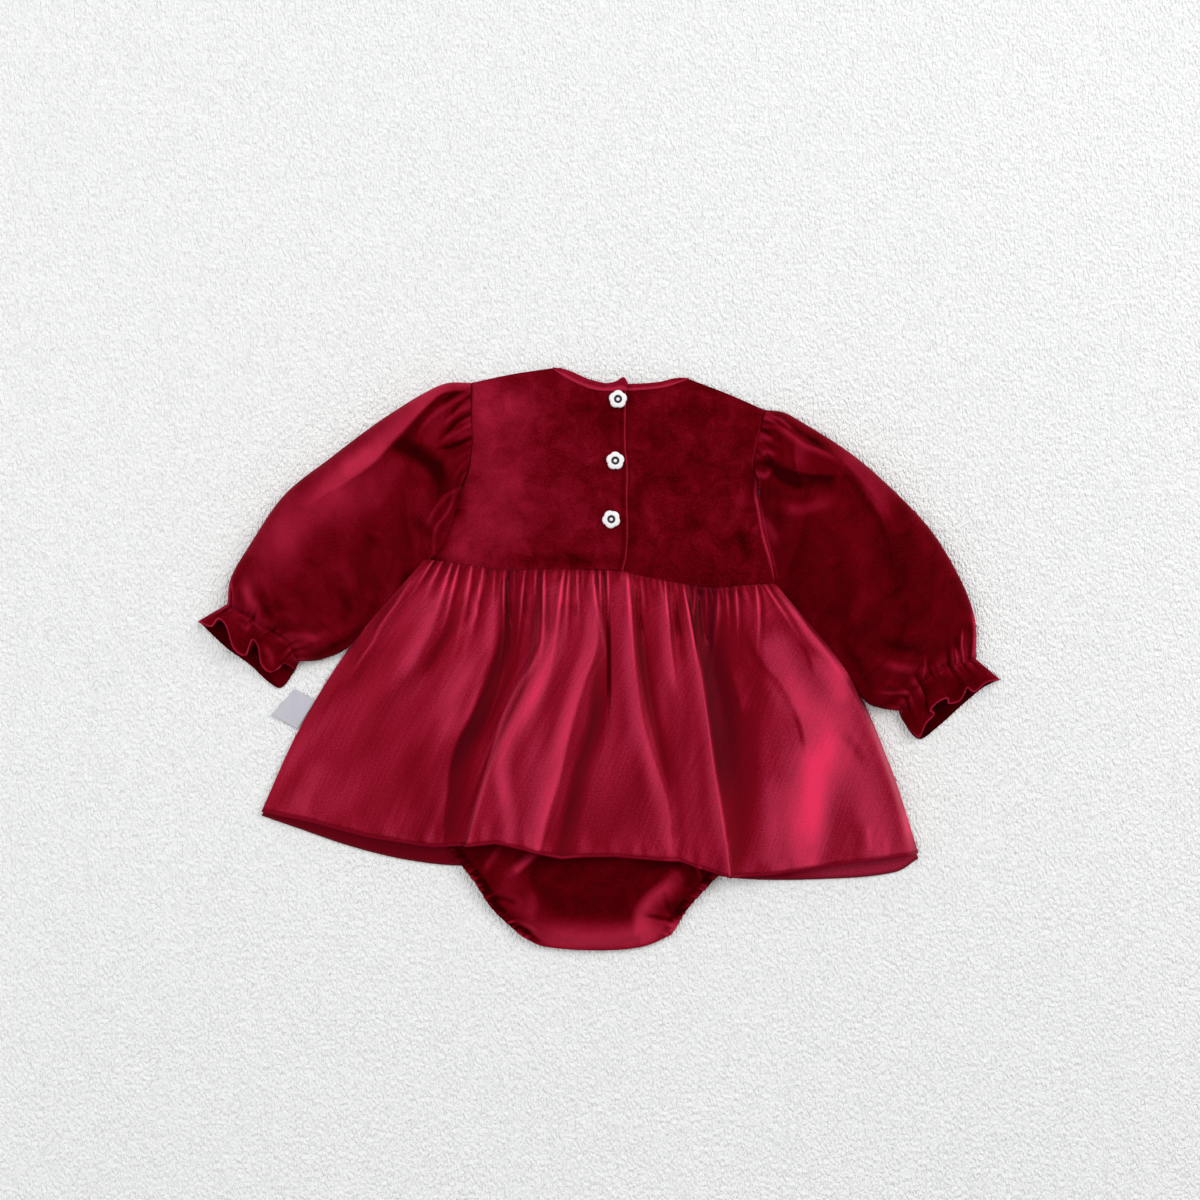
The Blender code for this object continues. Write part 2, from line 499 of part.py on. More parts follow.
def add_sleeve(name, sections, armhole, elastic, frill_top, frill_under, creases, mirrored):
    """One tube from the armhole to the elastic and on through the frill; mirrored ones wind the other way."""
    angle = 2.0 * np.pi * np.arange(SLEEVE_SPOTS) / SLEEVE_SPOTS
    share = (1.0 - np.cos(angle)) / 2.0          # 0 at the inner edge, 1 at the outer edge
    reach = np.abs(np.sin(angle))                # 0 at both edges, 1 in the middle
    over = angle > np.pi
    under = SLEEVE_EDGE * (1.0 - np.clip(reach / SLEEVE_TURN, 0.0, 1.0)) ** 2
    stations = np.array(SLEEVE_STATIONS)
    rows = through([s.station for s in sections], [s[1:] for s in sections], stations)
    armhole_bow = curve(armhole)(share) - straight_line(curve(armhole), share)
    elastic_bow = curve(elastic)(share) - straight_line(curve(elastic), share)
    rings = []
    for station, (outer_x, outer_y, inner_x, inner_y, height) in zip(stations, rows):
        x = inner_x + (outer_x - inner_x) * share
        y = inner_y + (outer_y - inner_y) * share
        place = np.stack([x, y], axis=-1)
        place += armhole_bow * (1.0 - ease(station / SLEEVE_END))
        place += elastic_bow * ease((station - 1.0 + SLEEVE_END) / SLEEVE_END)
        fade = ease(height / sections[-1].height - 1.0) * ease(2.0 * reach)
        top = SLEEVE_EDGE + (height - SLEEVE_EDGE) * reach ** SLEEVE_ROUND
        top = top + relief(place[:, 0], place[:, 1], creases) * fade
        rings.append(np.column_stack([place, np.where(over, top, under)]))

    last = rings[-1]
    under_edge = np.column_stack([curve(frill_under)(share), under])
    edge = np.where(over[:, None], curve(frill_top)(share), under_edge)
    for step in FRILL_STEPS:
        rings.append(last + (edge - last) * step)
    faces = tube_faces(len(rings), SLEEVE_SPOTS)
    if mirrored:
        faces = [tuple(reversed(face)) for face in faces]
    return add_object(name, rings, faces, "velvet", VELVET, outwards=False)


def below_waist(start, end, gap):
    """The waist's line, lower by the gap, between two ends of its own."""
    return curve((start, *[(x, y - gap) for x, y in WAIST[1:-1]], end))


def add_bloomers():
    """Back and front of the bloomers; the leg edges are turned in around their elastic."""
    u, v = grid(10, 13)
    left = chain([curve(BLOOMER_LEG_LEFT[::-1]), curve(BLOOMER_SIDE_LEFT[::-1])], [0.5])
    right = chain([curve(BLOOMER_LEG_RIGHT[::-1]), curve(BLOOMER_SIDE_RIGHT[::-1])], [0.5])
    waist = below_waist(BLOOMER_SIDE_LEFT[0], BLOOMER_SIDE_RIGHT[0], 2.0 * WAIST_SEAM)
    x, y = np.moveaxis(coons(curve(BLOOMER_CROTCH), waist, left, right, u, v), -1, 0)
    sheet("bloomer_back", np.stack([x, y, bloomer_back_height(x, y)], axis=-1), "velvet", VELVET)
    sheet("bloomer_front", np.stack([x, y, bloomer_front_height(y)], axis=-1), "velvet", VELVET)


def add_skirt():
    """Front skirt flat on the table, and the gathered back skirt as a net with two columns to a fold."""
    u, v = grid(5, 20)
    waist = below_waist(SKIRT_LEFT_EDGE[0], SKIRT_RIGHT_EDGE[0], 1.6 * WAIST_SEAM)
    left = curve((HEM_FRONT[0], *reversed(SKIRT_LEFT_EDGE)))
    right = curve((HEM_FRONT[-1], *reversed(SKIRT_RIGHT_EDGE)))
    front = coons(curve(HEM_FRONT), waist, left, right, u, v)
    sheet("skirt_front", np.concatenate([front, np.zeros_like(u)[..., None]], axis=-1), "satin", SATIN)

    across = np.linspace(0.0, len(SKIRT_FOLDS) - 1.0, 2 * (len(SKIRT_FOLDS) - 1) + 1)
    down = np.array(SKIRT_ROWS)
    folds = np.array(SKIRT_FOLDS)
    first = np.clip(across.astype(int), 0, len(SKIRT_FOLDS) - 2)
    part = across - first
    lines = folds[first, :4] + (folds[first + 1, :4] - folds[first, :4]) * part[:, None]
    lifts = folds[first, 4:] + (folds[first + 1, 4:] - folds[first, 4:]) * ease(part)[:, None]
    x = through(FOLD_STATIONS, lines.T, down)
    lift = through(FOLD_STATIONS[1:], lifts.T, np.maximum(down, FOLD_STATIONS[1]))
    lift *= ease(down / WAIST_PRESS)[:, None]
    waist_points, hem_points = curve(WAIST)(np.linspace(0.0, 1.0, 200)), np.array(HEM_BACK)
    waist_y = np.interp(lines[:, 0], waist_points[:, 0], waist_points[:, 1]) - WAIST_SEAM
    hem_y = np.interp(lines[:, 3], hem_points[:, 0], hem_points[:, 1])
    y = waist_y + (hem_y - waist_y) * down[:, None]
    back = np.stack([x, y, skirt_bed(x, y) + np.maximum(lift, 0.0)], axis=-1)
    sheet("skirt_back", back, "satin", SATIN)


def add_button(name, centre, low):
    """A white button in the shape of a five-petalled flower, with a round hollow in its middle."""
    angle = 2.0 * np.pi * np.arange(BUTTON_SPOTS) / BUTTON_SPOTS
    rings = []
    for ring in BUTTON_RINGS:
        petals = 1.0 + PETAL_DEPTH * ring.petals * np.cos(BUTTON_PETALS * angle)
        reach = BUTTON_DIAMETER / 2 * ring.radius * petals
        x = centre[0] + reach * np.cos(angle)
        y = centre[1] + reach * np.sin(angle)
        rings.append(np.column_stack([x, y, np.full(BUTTON_SPOTS, low + BUTTON_THICK * ring.height)]))
    add_object(name, rings, capped_faces(len(rings), BUTTON_SPOTS), "white")


def add_buttons():
    """Three buttons on the placket's upper layer, the third velvet layer there."""
    low = 3.0 * LAYER + BODY_RISE
    for name, centre in BUTTON_CENTRES.items():
        add_button(name, centre, low)


def add_label():
    """Folded care label that stands out of the left side seam."""
    foot, tip, end, heel = (np.array(corner) for corner in LABEL_CORNERS)
    u, v = grid(2, 2)
    place = (heel * (1 - u)[..., None] + foot * u[..., None]) * (1 - v)[..., None]
    place += (end * (1 - u)[..., None] + tip * u[..., None]) * v[..., None]
    net = np.concatenate([place, np.zeros_like(u)[..., None]], axis=-1)
    sheet("care_label", net, "white", LABEL_TAPE)


def main():
    """Clear the scene and build every piece."""
    for old in list(bpy.data.objects):
        bpy.data.objects.remove(old, do_unlink=True)
    add_bodice()
    add_bindings()
    add_sleeve("sleeve_left", SLEEVE_LEFT, ARMHOLE_LEFT, ELASTIC_LEFT, FRILL_TOP_LEFT, FRILL_UNDER_LEFT,
               CREASES_SLEEVE_LEFT, mirrored=True)
    add_sleeve("sleeve_right", SLEEVE_RIGHT, ARMHOLE_RIGHT, ELASTIC_RIGHT, FRILL_TOP_RIGHT, FRILL_UNDER_RIGHT,
               CREASES_SLEEVE_RIGHT, mirrored=False)
    add_bloomers()
    add_skirt()
    add_buttons()
    add_label()


main()
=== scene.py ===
# %% [markdown]
# # A skirted baby romper, laid flat with its back up
#
# The garment is made of two cloths: a short-pile velvet for the bodice, the puffed sleeves and the
# bloomers, and a thin crimson satin for the gathered skirt. It lies on its front, so what shows is its
# back, with a placket and three flower-shaped buttons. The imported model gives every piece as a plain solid.
# This lesson dresses each of them with a finer shell of the same form, and adds what a maker sees at arm's
# length: gathers, creases, hems, stitches, nap and sheen.
#
# The frame comes first, because every place and size in this file is tied to it.

# %% Load the frame
import json
import math
from collections import namedtuple

import bpy
import numpy as np
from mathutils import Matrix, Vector

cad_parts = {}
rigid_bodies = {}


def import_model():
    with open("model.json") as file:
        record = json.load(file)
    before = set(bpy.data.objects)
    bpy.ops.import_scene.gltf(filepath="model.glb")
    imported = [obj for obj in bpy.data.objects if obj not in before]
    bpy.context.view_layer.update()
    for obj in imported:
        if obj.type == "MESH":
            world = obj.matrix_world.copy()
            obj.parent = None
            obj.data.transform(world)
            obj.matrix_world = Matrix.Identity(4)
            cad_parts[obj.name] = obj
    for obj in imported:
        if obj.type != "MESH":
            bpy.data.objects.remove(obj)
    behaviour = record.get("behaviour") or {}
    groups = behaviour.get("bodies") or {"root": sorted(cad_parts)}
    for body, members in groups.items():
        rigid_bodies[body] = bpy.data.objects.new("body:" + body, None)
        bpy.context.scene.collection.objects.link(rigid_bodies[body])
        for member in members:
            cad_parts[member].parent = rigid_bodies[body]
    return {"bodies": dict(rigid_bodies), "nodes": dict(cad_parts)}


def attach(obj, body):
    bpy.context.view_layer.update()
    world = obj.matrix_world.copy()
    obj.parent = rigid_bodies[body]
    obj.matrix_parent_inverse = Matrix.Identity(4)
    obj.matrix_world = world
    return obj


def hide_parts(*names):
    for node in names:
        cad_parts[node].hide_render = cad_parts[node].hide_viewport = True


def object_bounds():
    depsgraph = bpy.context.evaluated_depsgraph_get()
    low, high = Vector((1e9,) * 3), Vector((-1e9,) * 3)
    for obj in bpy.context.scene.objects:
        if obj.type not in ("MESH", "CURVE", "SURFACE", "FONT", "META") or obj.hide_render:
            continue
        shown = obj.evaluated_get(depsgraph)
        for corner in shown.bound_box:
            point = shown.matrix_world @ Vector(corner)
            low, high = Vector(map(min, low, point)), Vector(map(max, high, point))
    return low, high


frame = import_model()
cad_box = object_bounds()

BODY = next(iter(frame["bodies"]))
print("body:", BODY, "nodes:", len(frame["nodes"]), "box:", cad_box)

# %% [markdown]
# ## One drawing for all pieces
#
# A pattern cutter works in millimetres on a flat table, so this file does too. X runs across the garment, Y
# from the legs up to the neck, and heights count from the table. Only the last step of each piece turns
# millimetres into the frame's metres. The drawing's highest point is the tip of the neck binding, and the
# frame's box tells where that lies.

# %% Drawing and frame
MM = 0.001
DRAWN_TOP = 197.0                                   # Y of the neck binding's tip on the drawing
SHIFT_X = (cad_box[0].x + cad_box[1].x) / 2 / MM
SHIFT_Y = cad_box[1].y / MM - DRAWN_TOP

VELVET = 1.4       # thickness of each cloth, as a wall
SATIN = 1.0
GAP = 0.35         # between two layers that lie on each other
LAYER = VELVET + GAP
WAIST_SEAM = 0.8
SEWN = 0.15        # what is left between the edges of two pieces that are sewn together
print("drawing moved by", round(SHIFT_X, 2), round(SHIFT_Y, 2), "mm")

# %% [markdown]
# ## Lines and surfaces
#
# Cloth is drawn here as nets of points that are computed, not sculpted: a few named points make a smooth
# line, four lines make a patch, and folds are heights added to it. Computing gives clean, even faces, and a
# fold can be moved by changing one number. Numpy works out a whole net at once.

# %% Soft steps
def ease(t):
    """Go from 0 to 1 with a flat start and a flat end."""
    t = np.clip(t, 0.0, 1.0)
    return t * t * (3.0 - 2.0 * t)


def fade(t):
    """Go from 1 to 0 with a flat start and a flat end."""
    return 1.0 - ease(t)


def ridge(distance, width):
    """A soft ridge: 1 at its line, and 0 from this width on to either side."""
    return ease(1.0 - np.abs(distance) / width)


print("ease:", ease(0.25), "fade:", fade(0.25), "ridge:", ridge(1.0, 2.0))


# %% Smooth lines
FINE_STEPS = 40   # short straight steps for each point of a smooth line


def cubic(knots, values, slopes, t, wide=False):
    """A smooth line at t, from values and slopes at its knots; wide is for several values at each knot."""
    span = np.clip(np.searchsorted(knots, t, side="right") - 1, 0, len(knots) - 2)
    length, past = knots[span + 1] - knots[span], t - knots[span]
    if wide:
        length, past = length[..., None], past[..., None]
    p = past / length
    return ((2 * p ** 3 - 3 * p ** 2 + 1) * values[span] + (p ** 3 - 2 * p ** 2 + p) * length * slopes[span]
            + (3 * p ** 2 - 2 * p ** 3) * values[span + 1] + (p ** 3 - p ** 2) * length * slopes[span + 1])


def through(knots, values, t):
    """Values at t on a smooth line that passes through the given values at the given knots."""
    knots, values = np.asarray(knots, float), np.asarray(values, float)
    slopes = np.empty_like(values)
    slopes[1:-1] = (values[2:] - values[:-2]) / (knots[2:] - knots[:-2])[:, None]
    slopes[0] = (values[1] - values[0]) / (knots[1] - knots[0])
    slopes[-1] = (values[-1] - values[-2]) / (knots[-1] - knots[-2])
    return cubic(knots, values, slopes, np.asarray(t, float), wide=True)


def gently(knots, values, t):
    """Like through, but for one value at each knot, and without swinging past it."""
    secant = np.diff(values) / np.diff(knots)
    slopes = np.zeros_like(values)
    same = secant[1:] * secant[:-1] > 0.0
    mean = 2.0 * secant[1:] * secant[:-1] / np.where(same, secant[1:] + secant[:-1], 1.0)
    slopes[1:-1] = np.where(same, mean, 0.0)
    slopes[0], slopes[-1] = secant[0], secant[-1]
    return cubic(knots, values, slopes, t)


def walked(points):
    """Distance walked along a line of points, at each of them."""
    return np.concatenate(([0.0], np.cumsum(np.linalg.norm(np.diff(points, axis=0), axis=1))))


def where_reached(points, pace, t):
    """Places on a line of points at which its pace, one number for each point, reaches t."""
    return np.stack([np.interp(t, pace, points[:, axis]) for axis in range(points.shape[1])], axis=-1)


def curve(points):
    """A function of 0..1 that walks along a smooth line through the points at an even pace."""
    points = np.asarray(points, float)
    knots = walked(points)
    fine = through(knots, points, np.linspace(0.0, knots[-1], FINE_STEPS * len(points)))
    pace = walked(fine)
    pace /= pace[-1]
    return lambda t: where_reached(fine, pace, t)


def bow(points, t):
    """How far a smooth line through the points stands off the straight line between its ends."""
    line = curve(points)
    return line(t) - (line(0.0) + (line(1.0) - line(0.0)) * t[:, None])


print("middle of a curve:", curve(((0, 0), (10, 6), (20, 0)))(0.5).round(3))


# %% Patches
def chain(curves, breaks):
    """One function of 0..1 that runs through several curves, which meet at the given breaks."""
    limits = [0.0, *breaks, 1.0]

    def at(t):
        t = np.asarray(t, float)
        result = curves[0](np.clip((t - limits[0]) / (limits[1] - limits[0]), 0.0, 1.0))
        for part, start, end in zip(curves[1:], limits[1:], limits[2:]):
            piece = part(np.clip((t - start) / (end - start), 0.0, 1.0))
            result = np.where((t > start)[..., None], piece, result)
        return result
    return at


def coons(bottom, top, left, right, u, v):
    """Points of the patch that four edge curves enclose: u runs left to right and v bottom to top."""
    across, up = u[..., None], v[..., None]
    between_ends = bottom(u) * (1 - up) + top(u) * up
    between_sides = left(v) * (1 - across) + right(v) * across
    low = bottom(0.0) * (1 - across) + bottom(1.0) * across
    high = top(0.0) * (1 - across) + top(1.0) * across
    return between_ends + between_sides - low * (1 - up) - high * up


def net(rows, columns):
    """u and v at every corner of a net with this many rows and columns of faces."""
    return np.meshgrid(np.linspace(0.0, 1.0, columns + 1), np.linspace(0.0, 1.0, rows + 1))


def points_of(x, y, z):
    """Points from their three coordinates; a single row or column is spread over the net."""
    return np.stack(np.broadcast_arrays(x, y, z), axis=-1)


print("a net of 2 by 3 faces has", net(2, 3)[0].size, "points")

# %% [markdown]
# ## Creases and gathers
#
# Cloth that lies about shows two kinds of relief. A crease runs by itself along a line, with a soft side
# and a steeper side. Gathers stand close together along a seam that is shorter than the cloth sewn to it,
# and die away at uneven distances. Each kind is one function here. A crease is given in a table, and so
# are the strokes of painted highlight and painted shade on a finish, which follow lines as creases do.
# Gathers are drawn by a seeded random generator, so that they are uneven and yet the same on every run.

# %% Crease and gather functions
Crease = namedtuple("Crease", "path lift left right start end")  # width on each side, shares left at its ends
CREASE_STEPS = 8   # straight steps for each point of a crease's path
CREASE_FADE = 0.3  # share of its length over which a crease fades towards each end


def crease_height(x, y, creases):
    """Height that the listed creases add at each place; a trough has a negative lift."""
    total = np.zeros_like(x)
    for crease in creases:
        path = curve(crease.path)(np.linspace(0.0, 1.0, CREASE_STEPS * len(crease.path)))
        nearest = np.full_like(x, np.inf)
        along = np.zeros_like(x)
        on_left = np.zeros(x.shape, bool)
        for step, (a, b) in enumerate(zip(path, path[1:])):
            run = b - a
            share = np.clip(((x - a[0]) * run[0] + (y - a[1]) * run[1]) / (run @ run), 0.0, 1.0)
            off_x, off_y = x - a[0] - share * run[0], y - a[1] - share * run[1]
            distance = np.hypot(off_x, off_y)
            closer = distance < nearest
            nearest = np.where(closer, distance, nearest)
            along = np.where(closer, (step + share) / (len(path) - 1), along)
            on_left = np.where(closer, run[0] * off_y - run[1] * off_x > 0.0, on_left)
        left_at_start = crease.start + (1.0 - crease.start) * ease(along / CREASE_FADE)
        left_at_end = crease.end + (1.0 - crease.end) * ease((1.0 - along) / CREASE_FADE)
        width = np.where(on_left, crease.left, crease.right)
        total += crease.lift * left_at_start * left_at_end * ridge(nearest, width)
    return total


PITCH_SPREAD, WIDTH_SPREAD, LIFT_SPREAD, REACH_SPREAD = (0.7, 1.35), (0.8, 1.15), (0.4, 1.0), (0.3, 1.0)
GATHER_WIDTH, GATHER_LEAN = 0.55, 0.05   # half width as a share of the pitch; sideways slope at most


def gather_height(place, away, start, end, pitch, height, reach, seed):
    """Height of uneven gathers along a seam: place runs along the seam and away counts from it, in mm."""
    random = np.random.default_rng(seed)
    total = np.zeros(np.broadcast(place, away).shape)
    spot = start
    while spot < end:
        step = pitch * random.uniform(*PITCH_SPREAD)
        width = GATHER_WIDTH * step * random.uniform(*WIDTH_SPREAD)
        lift = height * random.uniform(*LIFT_SPREAD)
        length = reach * random.uniform(*REACH_SPREAD) ** 1.3
        lean = random.uniform(-GATHER_LEAN, GATHER_LEAN) * away
        crest = np.clip(1.0 - ((place - spot - lean) / width) ** 2, 0.0, 1.0) ** 0.75
        total = total + lift * crest * fade(away / length)
        spot += step
    return total


def crests(heights, window):
    """Each height less the mean of its row within a window, so that crests are positive and gaps negative."""
    pad = window // 2
    wide = np.pad(heights, ((0, 0), (pad, pad)), mode="edge")
    sums = np.cumsum(np.pad(wide, ((0, 0), (1, 0))), axis=1)
    return heights - (sums[:, window:] - sums[:, :-window]) / window


def undulation(x, y, size, seed, waves=7):
    """Soft uneven swells between -1 and 1, about as wide as size."""
    random = np.random.default_rng(seed)
    total = np.zeros_like(x)
    for _ in range(waves):
        angle, phase = random.uniform(0.0, 2.0 * math.pi, 2)
        turn = 2.0 * math.pi / (size * random.uniform(1.2, 3.0))
        total += np.sin((x * math.cos(angle) + y * math.sin(angle)) * turn + phase)
    return total * 2.0 / waves


sample = gather_height(np.arange(60.0), 0.0, 0, 60, 5, 2, 30, 1)
print("gathers on 60 mm of seam rise to", sample.max().round(2), "mm")

# %% [markdown]
# ## From a net of points to a sheet of cloth
#
# Each piece becomes one mesh: the net is the cloth's upper face, and a Solidify modifier gives it its
# thickness downwards, so it's a thin closed shell like the real cloth. Attributes travel with the points
# for the finishes: where a point lies in the cloth (for the weave), how much it belongs to a hem (for its
# colour), its nap with painted highlights and painted shade (for the velvet), and its painted highlights
# and painted shade (for the satin).

# %% Sheets
made_pieces = {}


def show(name, data):
    """A new object in the scene."""
    shown = bpy.data.objects.new(name, data)
    bpy.context.scene.collection.objects.link(shown)
    return shown


def link(name, mesh, materials, node=None):
    """Put a mesh in the scene; with a node of the frame, it is the cloth that stands for that node."""
    for material in materials:
        mesh.materials.append(material)
    piece = show(name + "_cloth" if node else name, mesh)
    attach(piece, BODY)
    if node:
        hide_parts(node)
    made_pieces[name] = piece
    return piece


def mesh_from(name, points, faces):
    """A smooth-shaded mesh in metres from drawing points in millimetres."""
    places = np.asarray(points, float).reshape(-1, 3) + (SHIFT_X, SHIFT_Y, 0.0)
    mesh = bpy.data.meshes.new(name)
    mesh.from_pydata((places * MM).tolist(), [], faces)
    mesh.shade_smooth()
    return mesh


def net_faces(rows, columns, closed=False, flip=False):
    """Four-sided faces of a net of points; a closed one joins its last column to its first."""
    ring = columns if closed else columns + 1
    row, column = np.meshgrid(np.arange(rows), np.arange(columns), indexing="ij")
    after = (column + 1) % ring
    faces = np.stack([row * ring + column, row * ring + after, (row + 1) * ring + after,
                      (row + 1) * ring + column], axis=-1).reshape(-1, 4)
    return (faces[:, ::-1] if flip else faces).tolist()


def closed_faces(rings, spots):
    """Faces of a stack of rings with this many spots each, closed by a face at both ends."""
    last = (rings - 1) * spots
    ends = [list(range(spots))[::-1], list(range(last, last + spots))]
    return net_faces(rings - 1, spots, closed=True) + ends


def paint(mesh, title, values):
    """Store a number for each point of a mesh, or a vector, under the title by which its finish reads it."""
    kind, field = ("FLOAT_VECTOR", "vector") if title == "thread" else ("FLOAT", "value")
    painted = mesh.attributes.new(title, kind, "POINT")
    painted.data.foreach_set(field, np.asarray(values, np.float32).ravel())


def cloth(name, points, material, wall, thread, closed=False, flip=False, **painted):
    """A sheet of cloth from a net of points on its upper face; thread tells where each lies in the cloth."""
    rows, columns = points.shape[0] - 1, points.shape[1] - (0 if closed else 1)
    mesh = mesh_from(name, points, net_faces(rows, columns, closed, flip))
    paint(mesh, "thread", np.asarray(thread) * MM)
    for title, values in painted.items():
        paint(mesh, title, values)
    piece = link(name, mesh, [material], name)
    solid = piece.modifiers.new("Cloth thickness", "SOLIDIFY")
    solid.thickness = wall * MM
    solid.offset = -1.0
    return piece


def crisp_rim(piece):
    """Shade a sewn edge as a corner, so that no soft dark line follows its seam."""
    piece.modifiers.new("Crisp rim", "EDGE_SPLIT").split_angle = math.radians(60.0)


def in_cloth(points):
    """Each point's place in the unfolded cloth: distance along its row and down its column, in mm."""
    across = np.linalg.norm(np.diff(points, axis=1), axis=2)
    down = np.linalg.norm(np.diff(points, axis=0), axis=2)
    x = np.pad(np.cumsum(across, axis=1), ((0, 0), (1, 0)))
    y = np.pad(np.cumsum(down, axis=0), ((1, 0), (0, 0)))
    return points_of(x, y, 0.0)


def cloth_area(points):
    """Area of the cloth in a net of points, in square metres."""
    a = points[1:, 1:] - points[:-1, :-1]
    b = points[1:, :-1] - points[:-1, 1:]
    return float(np.linalg.norm(np.cross(a, b), axis=2).sum() / 2 * MM * MM)


print("faces of a tube of 3 rings with 4 spots:", len(closed_faces(3, 4)))

# %% [markdown]
# ## The finishes
#
# Velvet is a knit with a short cut pile. Seen from above its pile swallows the light, so it is very dark;
# where it turns away, the sides of the hairs catch the light, and it glows. In the Principled shader that
# is the sheen. A hand that brushes it leaves lighter and darker patches, the nap. Over the nap, painted
# highlights and painted shade lighten and darken the velvet's colour along its folds, edges and seams.
# Satin is woven so that long threads float on its face, which gives it a broad, soft shine across its folds
# and fine streaks along the threads; its colour carries painted highlights and painted shade as well.
#
# Threads and nap are shader node groups, because more than one finish uses them. Each finish sets its own
# values, and what is the same all over a surface stands on the shader's own sockets.

# %% Node helpers
def new_group(name, inputs, outputs):
    """An empty shader node group; inputs map names to default values, and None stands for a vector."""
    group = bpy.data.node_groups.new(name, "ShaderNodeTree")
    for title, value in inputs.items():
        kind = "NodeSocketVector" if value is None else "NodeSocketFloat"
        socket = group.interface.new_socket(name=title, in_out="INPUT", socket_type=kind)
        if value is not None:
            socket.default_value = value
    for title in outputs:
        group.interface.new_socket(name=title, in_out="OUTPUT", socket_type="NodeSocketFloat")
    return group, group.nodes.new("NodeGroupInput").outputs, group.nodes.new("NodeGroupOutput")


def set_inputs(tree, node, values):
    """Give a node's inputs their values; where the value is another node's output, link it."""
    for key, value in values.items():
        if isinstance(value, bpy.types.NodeSocket):
            tree.links.new(value, node.inputs[key])
        else:
            node.inputs[key].default_value = value


def add_node(tree, kind, inputs=None, **settings):
    """A node with its settings and inputs."""
    node = tree.nodes.new(kind)
    for key, value in settings.items():
        setattr(node, key, value)
    set_inputs(tree, node, inputs or {})
    return node


def group_node(tree, group, inputs):
    """The outputs of a node that holds a node group."""
    return add_node(tree, "ShaderNodeGroup", inputs, node_tree=group).outputs


def math_node(tree, operation, first, second=0.0):
    """The output of a Math node."""
    return add_node(tree, "ShaderNodeMath", {0: first, 1: second}, operation=operation).outputs[0]


def noise(tree, vector, scale, **values):
    """The output of a Noise Texture node."""
    return add_node(tree, "ShaderNodeTexNoise", {"Vector": vector, "Scale": scale, **values}).outputs[0]


def mix_colour(tree, share, first, second):
    """The output of a Mix node between two colours; sockets 6, 7 and 2 are its colour sockets."""
    return add_node(tree, "ShaderNodeMix", {0: share, 6: first, 7: second}, data_type="RGBA").outputs[2]


def attribute(tree, title, output="Fac"):
    """What was painted on the mesh's points under a title."""
    return add_node(tree, "ShaderNodeAttribute", attribute_name=title).outputs[output]


def colour_ramp(tree, share, stops):
    """The output of a Color Ramp node with the given places and colours."""
    node = add_node(tree, "ShaderNodeValToRGB", {"Fac": share})
    elements = node.color_ramp.elements
    while len(elements) < len(stops):
        elements.new(0.5)
    for element, (place, colour) in zip(elements, stops):
        element.position, element.color = place, (*colour, 1.0)
    return node.outputs["Color"]


def bump(tree, height, strength, distance):
    """The normal of a Bump node."""
    given = {"Strength": strength, "Distance": distance, "Height": height}
    return add_node(tree, "ShaderNodeBump", given).outputs[0]


def new_material(name):
    """A material with its node tree and its Principled shader."""
    made = bpy.data.materials.new(name)
    made.use_nodes = True
    return made, made.node_tree, made.node_tree.nodes["Principled BSDF"]


print("node helpers are ready")


# %% Node groups
WEAVE_HEIGHT, STREAK_HEIGHT = 0.12, 0.4   # shares of the threads' height
STREAK_SHARE, GRAIN_SHARE = 0.4, 0.6      # shares of the streaks' mask
GRAINS_PER_METRE = 900.0


def make_threads_group():
    """Fine parallel threads with uneven streaks: a height for Bump and a mask for colour."""
    inputs = {"Vector": None, "Threads per Metre": 1500.0, "Streak Width": 0.0015, "Streak Length": 0.05}
    group, given, result = new_group("Threads", inputs, ("Height", "Streaks"))
    place = add_node(group, "ShaderNodeSeparateXYZ", {0: given["Vector"]}).outputs
    turns = [math_node(group, "MULTIPLY", place[axis], given["Threads per Metre"]) for axis in (0, 1)]
    weft, warp = (math_node(group, "SINE", turn) for turn in turns)
    narrow = math_node(group, "DIVIDE", place[0], given["Streak Width"])
    long = math_node(group, "DIVIDE", place[1], given["Streak Length"])
    stretched = add_node(group, "ShaderNodeCombineXYZ", {0: narrow, 1: long}).outputs[0]
    streak = noise(group, stretched, 1.0, Detail=3.0)
    grain = noise(group, given["Vector"], GRAINS_PER_METRE, Detail=1.0)
    weave = math_node(group, "MULTIPLY", math_node(group, "ADD", weft, warp), WEAVE_HEIGHT)
    set_inputs(group, result, {
        "Height": math_node(group, "ADD", weave, math_node(group, "MULTIPLY", streak, STREAK_HEIGHT)),
        "Streaks": math_node(group, "ADD", math_node(group, "MULTIPLY", streak, STREAK_SHARE),
                             math_node(group, "MULTIPLY", grain, GRAIN_SHARE))})
    return group


def make_nap_group():
    """Patches, fine pile and the given nap and painted light: a mask from dark to light, and a Bump height.
    """
    group, given, result = new_group(
        "Nap", {"Vector": None, "Patch Size": 0.03, "Pile Size": 0.0008, "Contrast": 2.0, "Nap and Painted Light": 0.5},
        ("Mask", "Height"))
    patches = noise(group, given["Vector"], math_node(group, "DIVIDE", 1.0, given["Patch Size"]),
                    Detail=4.0, Roughness=0.6, Distortion=0.6)
    pile = noise(group, given["Vector"], math_node(group, "DIVIDE", 1.0, given["Pile Size"]), Detail=2.0)
    uneven = math_node(group, "ADD", math_node(group, "SUBTRACT", patches, 0.5),
                       math_node(group, "SUBTRACT", pile, 0.5))
    lit = math_node(group, "ADD", math_node(group, "MULTIPLY", uneven, given["Contrast"]), given["Nap and Painted Light"])
    mask = add_node(group, "ShaderNodeClamp", {0: lit}).outputs[0]
    set_inputs(group, result, {"Mask": mask, "Height": pile})
    return group


threads_group = make_threads_group()
nap_group = make_nap_group()
print("node groups:", threads_group.name, nap_group.name)

# %% Velvet
VELVET_COLOURS = ((0.0, (0.028, 0.00005, 0.0006)), (0.25, (0.115, 0.0006, 0.0035)),
                  (0.6, (0.250, 0.0060, 0.0220)), (1.0, (0.430, 0.0180, 0.0500)))


